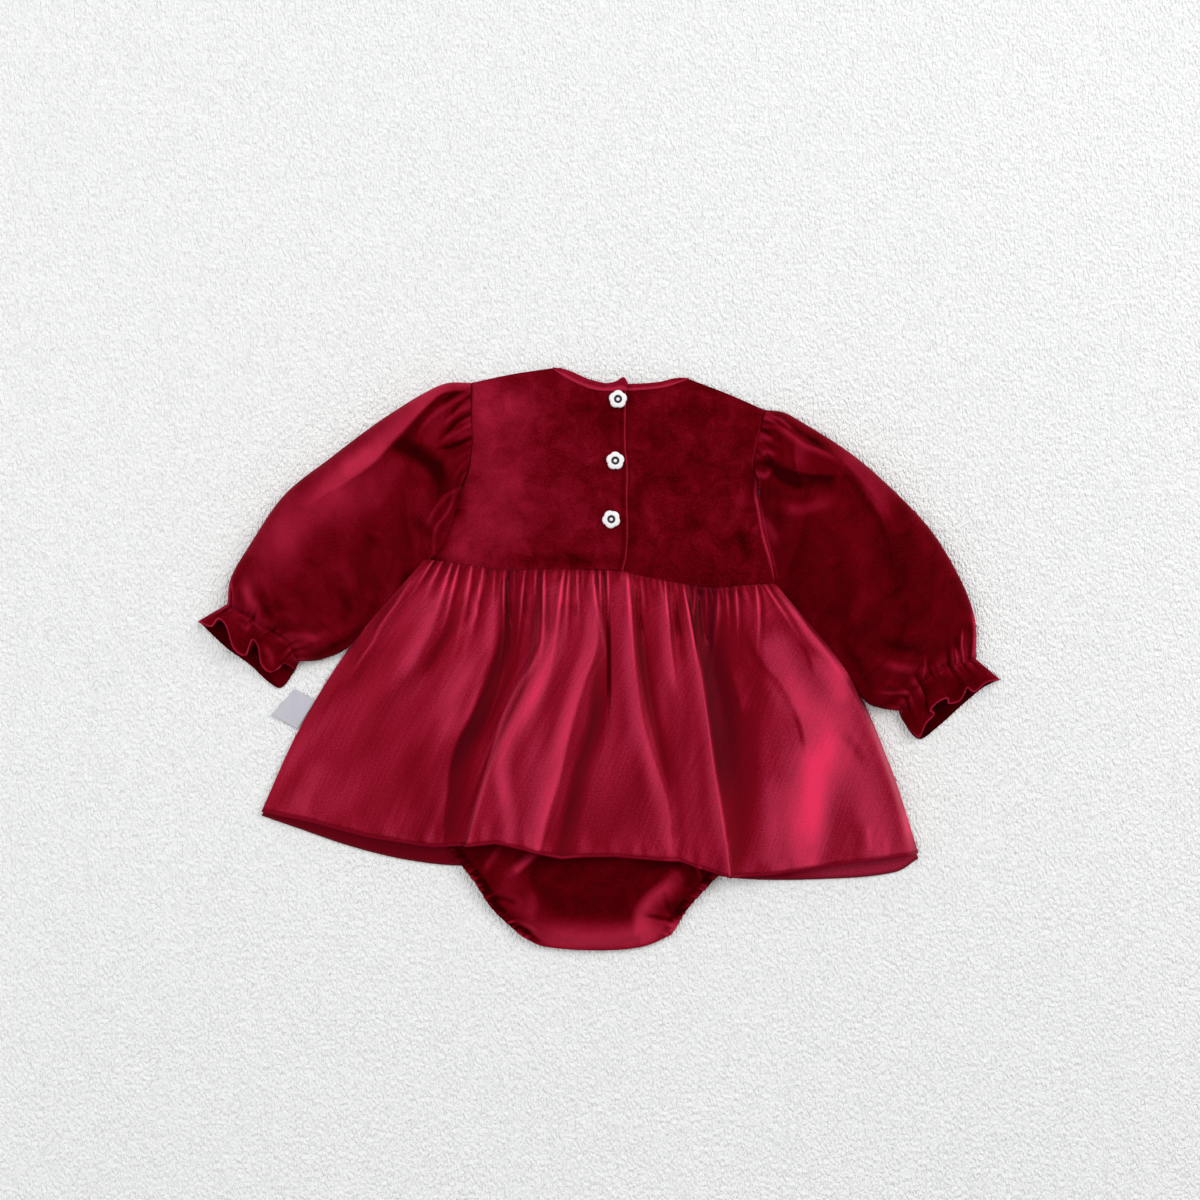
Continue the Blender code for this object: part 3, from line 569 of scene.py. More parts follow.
def make_velvet(name, patch_size, contrast):
    """Velvet of one piece: the size of the brushed patches and their contrast change from piece to piece."""
    made, tree, shader = new_material(name)
    # The nap attribute holds each piece's nap level with strokes of painted highlight and painted shade.
    nap = group_node(tree, nap_group, {
        "Vector": attribute(tree, "thread", "Vector"), "Nap and Painted Light": attribute(tree, "nap"),
        "Patch Size": patch_size, "Contrast": contrast})
    set_inputs(tree, shader, {
        "Base Color": colour_ramp(tree, nap["Mask"], VELVET_COLOURS), "Roughness": 0.55, "IOR": 1.4,
        "Specular IOR Level": 0.03, "Specular Tint": (1.0, 0.02, 0.05, 1.0),
        "Sheen Weight": 0.045, "Sheen Roughness": 0.4, "Sheen Tint": (1.0, 0.06, 0.16, 1.0),
        "Normal": bump(tree, nap["Height"], 0.35, 0.0004)})
    return made


velvet_bodice = make_velvet("velvet_bodice", 0.014, 0.58)
velvet_sleeve = make_velvet("velvet_sleeve", 0.018, 0.46)
velvet_bloomer = make_velvet("velvet_bloomer", 0.018, 0.36)
print("velvets:", velvet_bodice.name, velvet_sleeve.name, velvet_bloomer.name)

# %% Satin
SATIN_COLOURS = ((0.0, (0.014, 0.0001, 0.0006)), (0.4, (0.134, 0.0008, 0.0045)),
                 (0.52, (0.215, 0.0045, 0.018)), (0.64, (0.315, 0.0155, 0.044)),
                 (0.8, (0.490, 0.026, 0.072)), (1.0, (0.8, 0.033, 0.108)))
SATIN_HEM = (0.110, 0.0006, 0.0065, 1.0)
RAMP_OFFSET, PAINTED_SHADING_SHARE, SATIN_STREAKS = 0.25, 0.5, 0.5


def make_satin():
    """Thin crimson satin: painted light and shade and its streaks set its colour; the doubled hem is deeper
    in colour.
    """
    made, tree, shader = new_material("satin")
    threads = group_node(tree, threads_group, {
        "Vector": attribute(tree, "thread", "Vector"), "Threads per Metre": 9000.0})
    shading_and_streaks = math_node(tree, "ADD", math_node(tree, "MULTIPLY", attribute(tree, "gloss"), PAINTED_SHADING_SHARE),
                    math_node(tree, "MULTIPLY", threads["Streaks"], SATIN_STREAKS))
    face = colour_ramp(tree, math_node(tree, "ADD", shading_and_streaks, RAMP_OFFSET), SATIN_COLOURS)
    set_inputs(tree, shader, {
        "Base Color": mix_colour(tree, attribute(tree, "hem"), face, SATIN_HEM),
        "Roughness": 0.46, "IOR": 1.7, "Specular Tint": (1.0, 0.02, 0.08, 1.0),
        "Sheen Weight": 0.03, "Sheen Roughness": 0.4, "Sheen Tint": (1.0, 0.35, 0.45, 1.0),
        "Normal": bump(tree, threads["Height"], 0.25, 0.0003)})
    return made


satin = make_satin()
print("satin:", satin.name)

# %% [markdown]
# ## The bloomers
#
# The bloomers are the lowest part of the garment's back. Their leg edges are turned in around an elastic,
# which crinkles them into small ribs; the seat between them puffs up softly. The net is the same patch of
# four edges as the solid's, with most of its rows where it shows below the skirt.

# %% Bloomer outlines
WAIST = ((-114, 66.3), (-96, 64), (-70, 60.2), (-31, 59.8), (11, 59.6), (29, 55.5), (47, 52), (77.5, 47.6),
         (99, 49.2), (119.7, 50))
BLOOMER_SIDE_LEFT = ((-104, 64.6), (-113, 10), (-119, -60), (-117, -112))
BLOOMER_LEG_LEFT = ((-117, -112), (-100, -133), (-85, -151), (-72.4, -170.5), (-52.6, -189))
BLOOMER_CROTCH = ((-52.6, -189), (-38, -195.8), (0, -198.6), (30, -196), (49, -188))
BLOOMER_LEG_RIGHT = ((110, -116), (97, -133), (77.6, -151), (60.6, -170), (49, -188))
BLOOMER_SIDE_RIGHT = ((109.7, 49), (121, 0), (121, -60), (110, -116))
print("bloomers from", BLOOMER_CROTCH[2][1], "to", BLOOMER_SIDE_LEFT[0][1], "mm")

# %% Bloomer creases and strokes of painted light and shade
# A stroke is a painted highlight where its lift is positive, and painted shade where it is negative.
BLOOMER_CREASES = (
    Crease(((-79, -147), (-74, -138), (-66, -127)), 2, 5, 5, 0, 0.2),
    Crease(((-60, -147), (-51, -139.5), (-42, -132)), 2.6, 6, 5, 0, 0.2),
    Crease(((-71, -162), (-62, -164), (-54, -167)), -1, 4, 4, 0.3, 0),
    Crease(((-62, -180), (-51, -183.5), (-42, -190)), -1.2, 4, 4, 0.3, 0),
    Crease(((-30, -172), (-8, -172), (20, -176)), -1.6, 14, 14, 0, 0),
    Crease(((-40, -187), (0, -189.5), (36, -187)), 1.4, 10, 8, 0, 0),
    Crease(((28, -178), (32, -166), (42, -157), (50, -147)), 2.6, 4, 12, 0.2, 0.3),
    Crease(((41, -157), (44, -166), (48, -175)), -0.7, 2.6, 2.6, 0, 0.6),
    Crease(((34, -165), (40, -171), (47, -177)), -0.6, 2.4, 2.4, 0, 0.6),
    Crease(((30, -175), (38, -176.5), (47, -179)), -0.8, 2.6, 2.6, 0, 0.6),
    Crease(((54, -140), (60, -149), (60, -159)), -2, 5, 5, 0.2, 0),
    Crease(((65, -137), (67, -143), (69, -150)), 1.6, 3, 3, 0.2, 0.2),
)
BLOOMER_PAINTED_SHADING = (
    Crease(((-46, -192), (-20, -193), (4, -193), (24, -192), (46, -187)), 0.74, 21, 9, 0.7, 0.8),
    Crease(((-68, -152), (-60, -166), (-48, -174)), 0.22, 12, 14, 0.3, 0.5),
    Crease(((-47, -156), (-45, -166), (-48, -176)), 0.18, 6, 6, 0.1, 0.3),
    Crease(((-62, -178), (-50, -181), (-40, -186.5)), 0.28, 3, 2, 0.4, 0.2),
    Crease(((-60, -182), (-50, -184.5), (-42, -191), (-36, -194)), -0.45, 2.5, 5, 0.4, 0.2),
    Crease(((-71, -162), (-62, -164), (-54, -167)), -0.22, 3.5, 3.5, 0.6, 0),
    Crease(((-79, -147), (-74, -138), (-66, -127)), 0.26, 4, 5, 0.3, 0.4),
    Crease(((-60, -147), (-51, -139.5), (-42, -132)), 0.62, 6, 4, 0.2, 0.5),
    Crease(((28, -184), (28, -172), (35, -162), (44, -155), (51, -147)), 0.66, 7, 15, 0.8, 0.5),
    Crease(((-66, -136), (-56, -152), (-44, -168), (-28, -184)), 0.16, 14, 14, 0.3, 0.3),
    Crease(((43, -153), (45, -163), (49, -173)), -0.14, 2.4, 2.4, 0, 0.9),
    Crease(((29, -173), (38, -175), (48, -177.5)), -0.3, 3, 3, 0, 0.9),
    Crease(((54, -140), (60, -149), (60, -159)), -0.1, 5, 5, 0.5, 0.2),
    Crease(((65, -137), (67, -143), (69, -150)), 0.3, 2.6, 2.6, 0.3, 0.4),
)
print("bloomers:", len(BLOOMER_CREASES), "creases,", len(BLOOMER_PAINTED_SHADING), "strokes")

# %% Bloomer heights
BLOOMER_PUFF = 3.3
RAMP_FOOT, RAMP_TOP = -178.0, -156.0  # between these the front comes up from the table onto the front skirt
PUFF_START = -116.0
PUFF_SLOPE, CROTCH_SLOPE = 22.0, 12.0
ELASTIC_WIDTH = 8.0


def bloomer_front_height(y):
    """The front of the bloomers lies on the front skirt and comes down to the table below its hem."""
    return (SATIN + GAP) * ease((y - RAMP_FOOT) / (RAMP_TOP - RAMP_FOOT))


def leg_distance(x, y):
    """How far inside the outline of the bloomers a place lies, sideways."""
    left = np.array(BLOOMER_LEG_LEFT[::-1] + BLOOMER_SIDE_LEFT[::-1])
    right = np.array(BLOOMER_LEG_RIGHT[::-1] + BLOOMER_SIDE_RIGHT[::-1])
    return np.minimum(x - np.interp(y, left[:, 1], left[:, 0]), np.interp(y, right[:, 1], right[:, 0]) - x)


def bloomer_back_height(x, y):
    """Lower face of the back: it puffs up between the legs' elastic edges and the crotch."""
    crotch = np.array(BLOOMER_CROTCH)
    above_crotch = y - np.interp(x, crotch[:, 0], crotch[:, 1])
    inside = ease(leg_distance(x, y) / PUFF_SLOPE) * ease(above_crotch / CROTCH_SLOPE)
    puff = BLOOMER_PUFF * ease((PUFF_START - y) / (PUFF_START - RAMP_TOP)) * inside
    hemmed = ease(leg_distance(x, y) / ELASTIC_WIDTH) * ease(above_crotch / ELASTIC_WIDTH)
    folds = crease_height(x, y, BLOOMER_CREASES) * hemmed
    return bloomer_front_height(y) + LAYER + puff + np.maximum(folds, -puff)


def below_waist(start, end, gap):
    """The waist's line, lower by the gap, between two ends of its own."""
    return curve((start, *[(x, y - gap) for x, y in WAIST[1:-1]], end))


print("bloomers rise to", round(LAYER + BLOOMER_PUFF, 2), "mm below their cloth")

# %% Bloomers
NAP_BLOOMERS = 0.13
RIBS = (-170.0, -70.0, 3.2, 2.0, 15.0)   # start, end, pitch, height and reach
RIB_SLANT = 0.45                         # they are counted down the height and by this share of the width
RIBS_BELOW, RIBS_SOFT = -118.0, 10.0
RIB_EDGE, RIB_WAVE = 1.2, 4.0            # widths over which they rise, and over which they sway the edge


def bloomer_net(rows, columns):
    """Net of the bloomers' outline, closer towards the crotch; also how far across each point is."""
    u, v = net(rows, columns)
    v = v ** 1.5
    left = chain([curve(BLOOMER_LEG_LEFT[::-1]), curve(BLOOMER_SIDE_LEFT[::-1])], [0.5])
    right = chain([curve(BLOOMER_LEG_RIGHT[::-1]), curve(BLOOMER_SIDE_RIGHT[::-1])], [0.5])
    waist = below_waist(BLOOMER_SIDE_LEFT[0], BLOOMER_SIDE_RIGHT[0], 2.0 * WAIST_SEAM)
    x, y = np.moveaxis(coons(curve(BLOOMER_CROTCH), waist, left, right, u, v), -1, 0)
    return x, y, u


def make_bloomer_back():
    """The back, with ribs along its elastic leg edges."""
    x, y, u = bloomer_net(150, 190)
    z = bloomer_back_height(x, y) + VELVET
    edge = leg_distance(x, y)
    on_leg = ease((RIBS_BELOW - y) / RIBS_SOFT)
    rib_shading = 0.0
    for side, seed in ((u < 0.5, 11), (u >= 0.5, 12)):
        distance = np.where(side, edge, np.inf)
        ribs = gather_height(y + RIB_SLANT * np.abs(x), distance, *RIBS, seed)
        z = z + 0.9 * ribs * on_leg * ease(distance / RIB_EDGE)
        rib_shading = rib_shading + (ribs / 1.3 - 0.45) * on_leg * fade((distance - 6.0) / 5.0)
        x = x + np.sign(x) * 0.5 * (ribs - 1.0) * on_leg * fade(distance / RIB_WAVE)
    z = z + 0.25 * undulation(x, y, 22.0, 3) * ease(edge / 14.0)
    points = points_of(x, y, z)
    # Nap level: strokes of painted highlight and shade, and painted highlights on the elastic's ribs with
    # painted shade between them.
    nap = NAP_BLOOMERS + crease_height(x, y, BLOOMER_PAINTED_SHADING) + 0.5 * rib_shading
    print("bloomers' back:", round(cloth_area(points), 4), "square metres")
    return cloth("bloomer_back", points, velvet_bloomer, VELVET, points, nap=nap)


def make_bloomer_front():
    """The front, plain, below the back."""
    x, y, _ = bloomer_net(60, 60)
    points = points_of(x, y, bloomer_front_height(y) + VELVET)
    print("bloomers' front:", round(cloth_area(points), 4), "square metres")
    return cloth("bloomer_front", points, velvet_bloomer, VELVET, points)


bloomer_back, bloomer_front = make_bloomer_back(), make_bloomer_front()

# %% [markdown]
# ## The skirt
#
# The skirt's back is wider than the waist it is sewn to, so it is gathered there and falls in uneven folds
# that open towards the hem. Each row of the table is one line of the cloth, a crest or the bottom of a
# valley, from waist to hem. Between the lines the height swings softly from one to the next. On top come
# the gathers of the seam: short ones by chance, and longer ones given one by one. The hem is rolled, so its
# last few millimetres are thicker and deeper in colour.

# %% Skirt folds
HEM_BACK = ((-229.2, -104.6), (-196, -111), (-158, -121), (-112, -128), (-89, -127), (-69, -124.5),
            (-25, -134.6), (10, -133.6), (54, -136.8), (89, -148), (119, -147), (162, -139.5),
            (216.8, -132.6))
Fold = namedtuple("Fold", "waist upper lower hem lift_upper lift_lower lift_hem")  # places in X, then lifts
SKIRT_FOLDS = (
    Fold(-118.5, -167.5, -203, -229.2, 0, 0, 0),
    Fold(-113, -158.5, -194, -219, 2.4, 2.2, 1.6),
    Fold(-108, -148, -183, -207, 1.8, 2.4, 2.6),
    Fold(-100, -121, -160, -185, 5.6, 3, 3.6),
    Fold(-93, -109, -140, -160, 3, 3.2, 3.8),
    Fold(-79, -84, -110, -128, 7, 6, 3.6),
    Fold(-64, -69.5, -99, -112, 9, 6.8, 2.4),
    Fold(-58, -61, -84, -99, 3.4, 2, 0.8),
    Fold(-50, -54, -79, -95, 2.2, 1.6, 0.6),
    Fold(-41, -47, -73, -91.6, 0.4, 0.4, 0.4),
    Fold(-38, -45.5, -71, -90.2, 5.4, 5.8, 5),
    Fold(-31, -40, -62, -79, 8.4, 9, 7.6),
    Fold(-24, -32.5, -50, -64, 11, 9.8, 9.2),
    Fold(-14, -20, -37, -50, 10.6, 10.6, 9.4),
    Fold(-2, -7, -22, -37, 12, 13, 11),
    Fold(4.5, 5.5, 2, -8, 6.6, 5.4, 3.6),
    Fold(8, 8, 9.5, 8, 8.4, 7.6, 4.8),
    Fold(20, 23.5, 31, 42, 9.8, 9.8, 7.6),
    Fold(28, 33, 45, 56, 4.4, 4.4, 4.6),
    Fold(42, 50.5, 58, 69, 8.8, 6.6, 6.2),
    Fold(50, 57.5, 67, 77, 6.2, 7.6, 7.2),
    Fold(57.5, 67.8, 76.8, 88, 9.2, 10, 9),
    Fold(61, 69.6, 78.8, 90, 6.4, 7, 6),
    Fold(70, 82, 95, 103, 1.6, 2.2, 3),
    Fold(79, 96, 110, 124, 1.8, 0.8, 2.8),
    Fold(87, 106, 122, 136, 2.4, 1.6, 4.6),
    Fold(95, 116, 136, 150, 2.2, 5, 7),
    Fold(102, 127, 148, 163, 4.4, 8, 8.2),
    Fold(108, 139, 160, 176, 6.4, 9.6, 8.4),
    Fold(114, 154, 180, 197, 8.4, 8.8, 7.4),
    Fold(117.5, 162.5, 191, 209, 8, 8.6, 6.6),
    Fold(119.7, 169, 197, 216.8, 0, 0, 0),
)
FOLD_STATIONS = (0.0, 1 / 3, 2 / 3, 1.0)
WAIST_PRESS = 0.13                  # share of the length over which the seam holds the folds down
BED_MARGIN, BED_SLOPE = 5.0, 60.0   # how far beside the bloomers the skirt still lies on them, and comes down
FACET_GAP = 0.2


def skirt_bed(x, y):
    """Lowest place for the back skirt: on the bloomers, or on the front skirt beside them."""
    beside = SATIN + GAP
    on_bloomers = bloomer_back_height(x, y) + LAYER + FACET_GAP
    return beside + (on_bloomers - beside) * fade((-leg_distance(x, y) - BED_MARGIN) / BED_SLOPE)


def skirt_lines(columns, down):
    """Finer lines between those of the table: their four places, and each point's place in X and its lift."""
    folds = np.array(SKIRT_FOLDS)
    across = np.linspace(0.0, len(folds) - 1.0, columns + 1)
    first = np.clip(across.astype(int), 0, len(folds) - 2)
    lines = folds[first, :4] + (folds[first + 1, :4] - folds[first, :4]) * (across - first)[:, None]
    lifts = [gently(folds[:, 1 + each], folds[:, 4 + each], lines[:, 1 + each]) for each in range(3)]
    lift = through(FOLD_STATIONS[1:], lifts, np.maximum(down, FOLD_STATIONS[1]))
    lift = np.maximum(lift * ease(down / WAIST_PRESS)[:, None], 0.0)
    return lines, through(FOLD_STATIONS, lines.T, down), lift


print("skirt:", len(SKIRT_FOLDS), "lines of folds")

# %% Skirt gathers and creases
# Each long gather gets a painted highlight along its rim and painted shade at its foot, on the side that foot
# gives.
LongGather = namedtuple("LongGather", "waist lean reach lift width foot")  # foot: side of its dark foot
LONG_GATHERS = (
    LongGather(-112, 0.1, 20, 1.4, 2.4, 1),
    LongGather(-106, 0.06, 24, 1.3, 2, 1),
    LongGather(-99.4, 0, 34, 1.6, 2.2, 1),
    LongGather(-94.4, 0, 46, 1.5, 2, 1),
    LongGather(-86, -0.02, 60, 2, 2.3, 1),
    LongGather(-78, -0.1, 56, 1.7, 2.2, 1),
    LongGather(-70.6, 0, 22, 1.2, 1.8, 1),
    LongGather(-63.8, 0.03, 70, 1.8, 2.2, 1),
    LongGather(-57, 0, 18, 1.3, 1.8, 1),
    LongGather(-50, -0.08, 56, 1.6, 2.2, 1),
    LongGather(-42.5, 0, 20, 1.2, 1.8, 1),
    LongGather(-37, 0.1, 60, 1.6, 2.2, -1),
    LongGather(-23.8, 0, 64, 1.7, 2, 1),
    LongGather(-20.3, 0.05, 44, 1.5, 1.8, 1),
    LongGather(-14.8, 0.1, 36, 1.4, 1.8, 1),
    LongGather(-10.6, 0, 16, 1.2, 1.6, 1),
    LongGather(-4.4, 0.15, 50, 1.5, 1.9, 1),
    LongGather(0.6, 0.04, 40, 1.4, 1.8, 1),
    LongGather(6, 0, 34, 1.3, 1.8, -1),
    LongGather(18.8, 0.03, 70, 1.6, 2, 1),
    LongGather(28.8, 0, 30, 1.2, 1.7, 1),
    LongGather(41.3, 0.02, 18, 1.1, 1.6, 1),
    LongGather(44.4, -0.05, 66, 1.4, 2, 1),
    LongGather(57, 0, 66, 1.5, 2, 1),
    LongGather(65, -0.2, 36, 1.2, 1.9, 1),
    LongGather(72, -0.15, 26, 1.1, 1.8, 1),
    LongGather(80.6, -0.25, 60, 1.4, 2.1, -1),
    LongGather(86, -0.2, 24, 1.1, 1.8, 1),
    LongGather(92.5, -0.25, 36, 1.2, 1.9, 1),
    LongGather(106, -0.3, 44, 1.4, 2, 1),
    LongGather(112, 0, 36, 1.4, 1.9, 1),
)
SHORT_GATHERS = (-117.0, 119.0, 3.8, 1.7, 20.0, 21)  # start, end, pitch, height, reach and seed
# The hem's puckers are only painted highlight and painted shade on the satin; they are not in the form.
PUCKERS = (-226.0, 214.0, 8.0, 0.7, 24.0, 77)        # the same for the hem
RIM_WIDTH, RIM_SHINE, FOOT_SHADE = 1.0, 0.52, 0.36
RIM_STRETCH = 1.5  # the rim shines on further down than the gather stands up

SKIRT_CREASES = (
    Crease(((-126, 54), (-128.4, 49.4), (-136.4, 37.2), (-142.5, 28.7), (-148.6, 20.1), (-152.3, 10.3),
            (-159.6, 1.7), (-176, -24)), 1.3, 9, 3.6, 0.2, 0),
    Crease(((-122, 30), (-118, 32), (-113.5, 34.5), (-110.5, 38)), 1.2, 2, 2.6, 0.1, 0.2),
    Crease(((-101, 56), (-104, 48), (-108.5, 41), (-113, 36)), -1.8, 2.2, 3, 0.3, 0.1),
    Crease(((-61.5, 52), (-61, 36), (-60, 20)), -2, 2.4, 2.4, 0.4, 0),
    Crease(((-50.5, 52), (-50, 38), (-47, 22)), -1.8, 2.2, 2.2, 0.4, 0),
    Crease(((-36, 52), (-35, 34), (-37, 14)), -2.2, 2.2, 3, 0.4, 0),
    Crease(((-15, 52), (-15, 36), (-17, 20)), -1.6, 2, 2.4, 0.4, 0),
    Crease(((6, 36), (6.4, 20), (6.8, 0), (6.8, -18), (6.4, -38)), -2.6, 1.9, 1.9, 0.1, 0),
    Crease(((27, 48), (27, 30), (31, 10)), -2, 2, 2.4, 0.4, 0),
    Crease(((51, 44), (52, 28), (55, 8)), -1.8, 2.2, 2.2, 0.4, 0),
    Crease(((69, 42), (70, 26), (72, 8)), -2, 4, 2.4, 0.4, 0),
)


def skirt_gathers(waist_x, away):
    """Gathers of the waist seam: the short uneven ones, and longer ones from the list."""
    short = gather_height(waist_x, away, *SHORT_GATHERS)
    long = np.zeros_like(short)
    for each in LONG_GATHERS:
        offset = waist_x - each.waist - each.lean * away
        long += each.lift * ridge(offset, each.width) * fade(away / each.reach)
    return np.maximum(short, long) * (0.5 + 0.5 * ease(away / 2.5))


def gather_rims(waist_x, away):
    """Painted shine of the longer gathers: a thin painted highlight along each, with painted shade at its
    foot.
    """
    total = np.zeros(np.broadcast(waist_x, away).shape)
    for each in LONG_GATHERS:
        offset = (waist_x - each.waist - each.lean * away) / RIM_WIDTH
        shine = RIM_SHINE * ridge(offset, 1.0) - FOOT_SHADE * ridge(offset - 2.3 * each.foot, 1.9)
        total += shine * fade(away / (RIM_STRETCH * each.reach))
    return total


print("gathers placed by hand:", len(LONG_GATHERS), "creases:", len(SKIRT_CREASES))

# %% Satin strokes
# Strokes of painted highlight and painted shade on the satin: lighter where the lift is positive, darker
# where it is negative.
SKIRT_PAINTED_SHADING = (
    Crease(((-101, 48), (-111, 32), (-116, 18), (-121, 8), (-127, -4), (-138, -18)), 0.4, 5, 12, 0.5, 0.1),
    Crease(((-128, 52), (-136.4, 37.2), (-142.5, 28.7), (-148.6, 19.5), (-153, 10.3), (-160.4, 0),
            (-172, -18)), 0.36, 1.8, 1, 0.5, 0),
    Crease(((-134, 46), (-147, 28), (-158, 10), (-172, -12)), -0.32, 4, 8, 0.4, 0.1),
    Crease(((-116, 52), (-124, 30), (-132, 4), (-138, -24)), 0.06, 14, 10, 0.7, 0.2),
    Crease(((-138, -16), (-150, -44), (-158, -74)), -0.14, 18, 18, 0.3, 0.3),
    Crease(((-94, 36), (-101, 20), (-108, 8), (-113, -2), (-121, -16)), -0.4, 6, 5, 0.3, 0),
    Crease(((-86, 44), (-84, 30), (-90, 18), (-92, 8)), 0.35, 4, 6, 0.5, 0.2),
    Crease(((-82, 8), (-88, -8), (-97, -26), (-102, -44), (-108, -62)), 0.28, 12, 14, 0.3, 0.1),
    Crease(((-67, 48), (-70, 30), (-72, 14), (-75, 0)), 0.45, 3.5, 8, 0.6, 0.2),
    Crease(((-65, 52), (-66, 20), (-69, 4), (-74, -10), (-79, -24), (-85, -40), (-94, -56), (-99, -72),
            (-101, -92), (-104, -114)), -0.8, 22, 2, 0.5, 0.6),
    Crease(((-35.5, 46), (-39, 9), (-44.5, -4), (-54, -18), (-64.5, -39), (-71, -60), (-79.5, -89),
            (-86, -114), (-88, -124)), 0.5, 4, 1.6, 0.4, 0.7),
    Crease(((-36, 10), (-42, -20), (-44, -50), (-42, -80), (-48, -120)), 0.18, 14, 14, 0.3, 0.6),
    Crease(((-61, 46), (-62.5, 4), (-66, -16), (-74, -40), (-84, -64)), 0.4, 1.2, 1.2, 0.2, 0),
    Crease(((-72, 8), (-80, -16), (-87, -36), (-96, -52)), 0.25, 1.6, 6, 0.4, 0.2),
    Crease(((-190, -64), (-198, -88), (-212, -106)), 0.25, 30, 12, 0.2, 0.6),
    Crease(((-118, -50), (-124, -80), (-118, -112)), -0.2, 18, 18, 0.2, 0.6),
    Crease(((-26, 48), (-25, 28), (-29, 12), (-35, -4), (-42, -20), (-51, -36), (-62, -56), (-66, -76),
            (-62, -98), (-60, -128)), 0.5, 9, 8, 0.6, 0.7),
    Crease(((-3, 48), (-2, 28), (-2, 10), (-10, -14), (-17, -36), (-23, -60), (-27, -78), (-32, -94),
            (-36, -108), (-41, -130)), 0.64, 2.4, 12, 0.5, 0.8),
    Crease(((2, 5), (-2, -20), (-5, -45), (-14, -74), (-21, -106), (-26, -130)), -0.62, 13, 5, 0.1, 0.7),
    Crease(((6.2, 30), (6.6, 10), (6.8, -16), (6.4, -40)), -0.5, 1.8, 1.8, 0.1, 0.1),
    Crease(((21, 50), (21.5, 20), (22.6, 5), (25, -18), (28.5, -40), (33, -58), (38, -73), (46, -99),
            (48.5, -124)), 0.46, 1.6, 13, 0.8, 0.6),
    Crease(((25, 40), (27, 10), (31, -20), (35, -40), (42, -68), (50, -94)), -0.58, 11, 2, 0.4, 0.1),
    Crease(((45, 50), (46, 19), (50, -7), (54.5, -31)), 0.42, 1.4, 9, 0.5, 0),
    Crease(((53, 44), (56, 14), (60, -10)), -0.22, 3, 5, 0.5, 0),
    Crease(((57, 46), (62, 18), (67.4, -10), (70.8, -32), (74, -55), (76.8, -76), (80.4, -98), (85.4, -128),
            (87.6, -146)), 0.28, 1.5, 8, 0.3, 1),
    Crease(((57.6, 46), (62.6, 18), (68, -10), (71.4, -32), (74.6, -55), (77.4, -76), (81, -98), (86, -128),
            (88.2, -146)), 0.55, 1, 1.3, 0.2, 1),
    Crease(((61, 46), (66, 14), (71.5, -12), (74.5, -34), (77.4, -55), (80.6, -76), (84.5, -98), (88, -122)),
            -0.9, 42, 2.4, 0.7, 0.3),
    Crease(((121, 6), (127, -12), (133, -26), (142, -40), (147, -55), (145, -72), (143, -92), (140, -112),
            (138, -138)), 0.55, 20, 18, 0.9, 0.7),
    Crease(((152, -44), (146, -80), (140, -112), (136, -138)), 0.52, 28, 32, 0.1, 0.5),
    Crease(((124, -76), (118, -100), (112, -134)), 0.34, 18, 20, 0.2, 0.9),
    Crease(((148, -2), (160, -12), (168, -34)), 0.42, 8, 14, 0.6, 0.2),
    Crease(((97, 34), (101, 12), (110, -4), (121, -17), (130, -33), (137, -56)), -0.3, 2.6, 6, 0.2, 0.3),
    Crease(((132, -36), (136, -50), (138, -62)), -0.45, 3, 3, 0.3, 0.2),
    Crease(((88, -4), (93, -20), (98.5, -42)), 0.35, 14, 1.2, 0.4, 0.1),
    Crease(((134, 14), (140, 2), (144, -12)), -0.3, 3, 3, 0.2, 0.3),
    Crease(((162, -48), (172, -60), (181, -74)), -0.25, 5, 6, 0.3, 0.2),
    Crease(((172, -106), (175, -118), (177, -132)), -0.25, 8, 9, 0.3, 0.6),
    Crease(((206, -100), (209, -114), (212, -130)), 0.36, 8, 9, 0.2, 0.8),
    Crease(((181, -112), (183, -128)), 0.3, 2.5, 3, 0.2, 0.8),
    Crease(((152, -20), (168, -60), (180, -100), (186, -134)), 0.4, 24, 24, 0.4, 0.9),
    Crease(((178, -30), (188, -50), (196, -70), (204, -92), (211, -116)), 0.6, 6, 9, 0.3, 0.5),
    Crease(((122, 47), (132, 31), (141, 17), (152, 5), (167, -11)), 0.6, 4, 6, 0.5, 0.9),
)
print("strokes on the satin:", len(SKIRT_PAINTED_SHADING))

# %% Back skirt
HEM_WIDTH, HEM_SOFT, HEM_RISE = 1.8, 0.8, 0.3
HEM_ROWS = (0.002, 0.0055, 0.0135)      # shares of the length at which the rolled hem has rows of its own
SEAM_LINE = HEM_WIDTH + 0.3             # the hem's seam, counted from the edge
SKIRT_ENDS = (-118.5, 119.7)            # the waist seam's ends, where gathers die away
BACK_WALL = 0.7


def skirt_rows(rows):
    """Shares of the way down, from the hem up, closer near the waist and at the hem."""
    down = np.linspace(0.0, 1.0, rows - 5) ** 1.15
    return np.sort(np.concatenate([down, down[-5:-2] + 0.004, 1.0 - np.array(HEM_ROWS)]))[::-1]


def skirt_shine(x, y, waist_x, away, to_hem, gathers):
    """Painted light and shade: strokes, gather rims and crests, hem puckers, shade below the waist, random
    swells.
    """
    puckers = gather_height(x, to_hem, *PUCKERS)
    shine = crease_height(x, y, SKIRT_PAINTED_SHADING) + gather_rims(waist_x, away)
    shine = shine + 0.45 * crests(gathers, 13) * fade((away - 12.0) / 50.0)
    shine = shine - 0.18 * fade((away - 2.0) / 14.0) - 0.25 * fade(away / 5.0)
    shine = shine + 0.6 * crests(puckers, 25) * ease(to_hem / 4.0)
    return shine + 0.1 * undulation(waist_x * 4.0, y * 0.7, 24.0, 9)


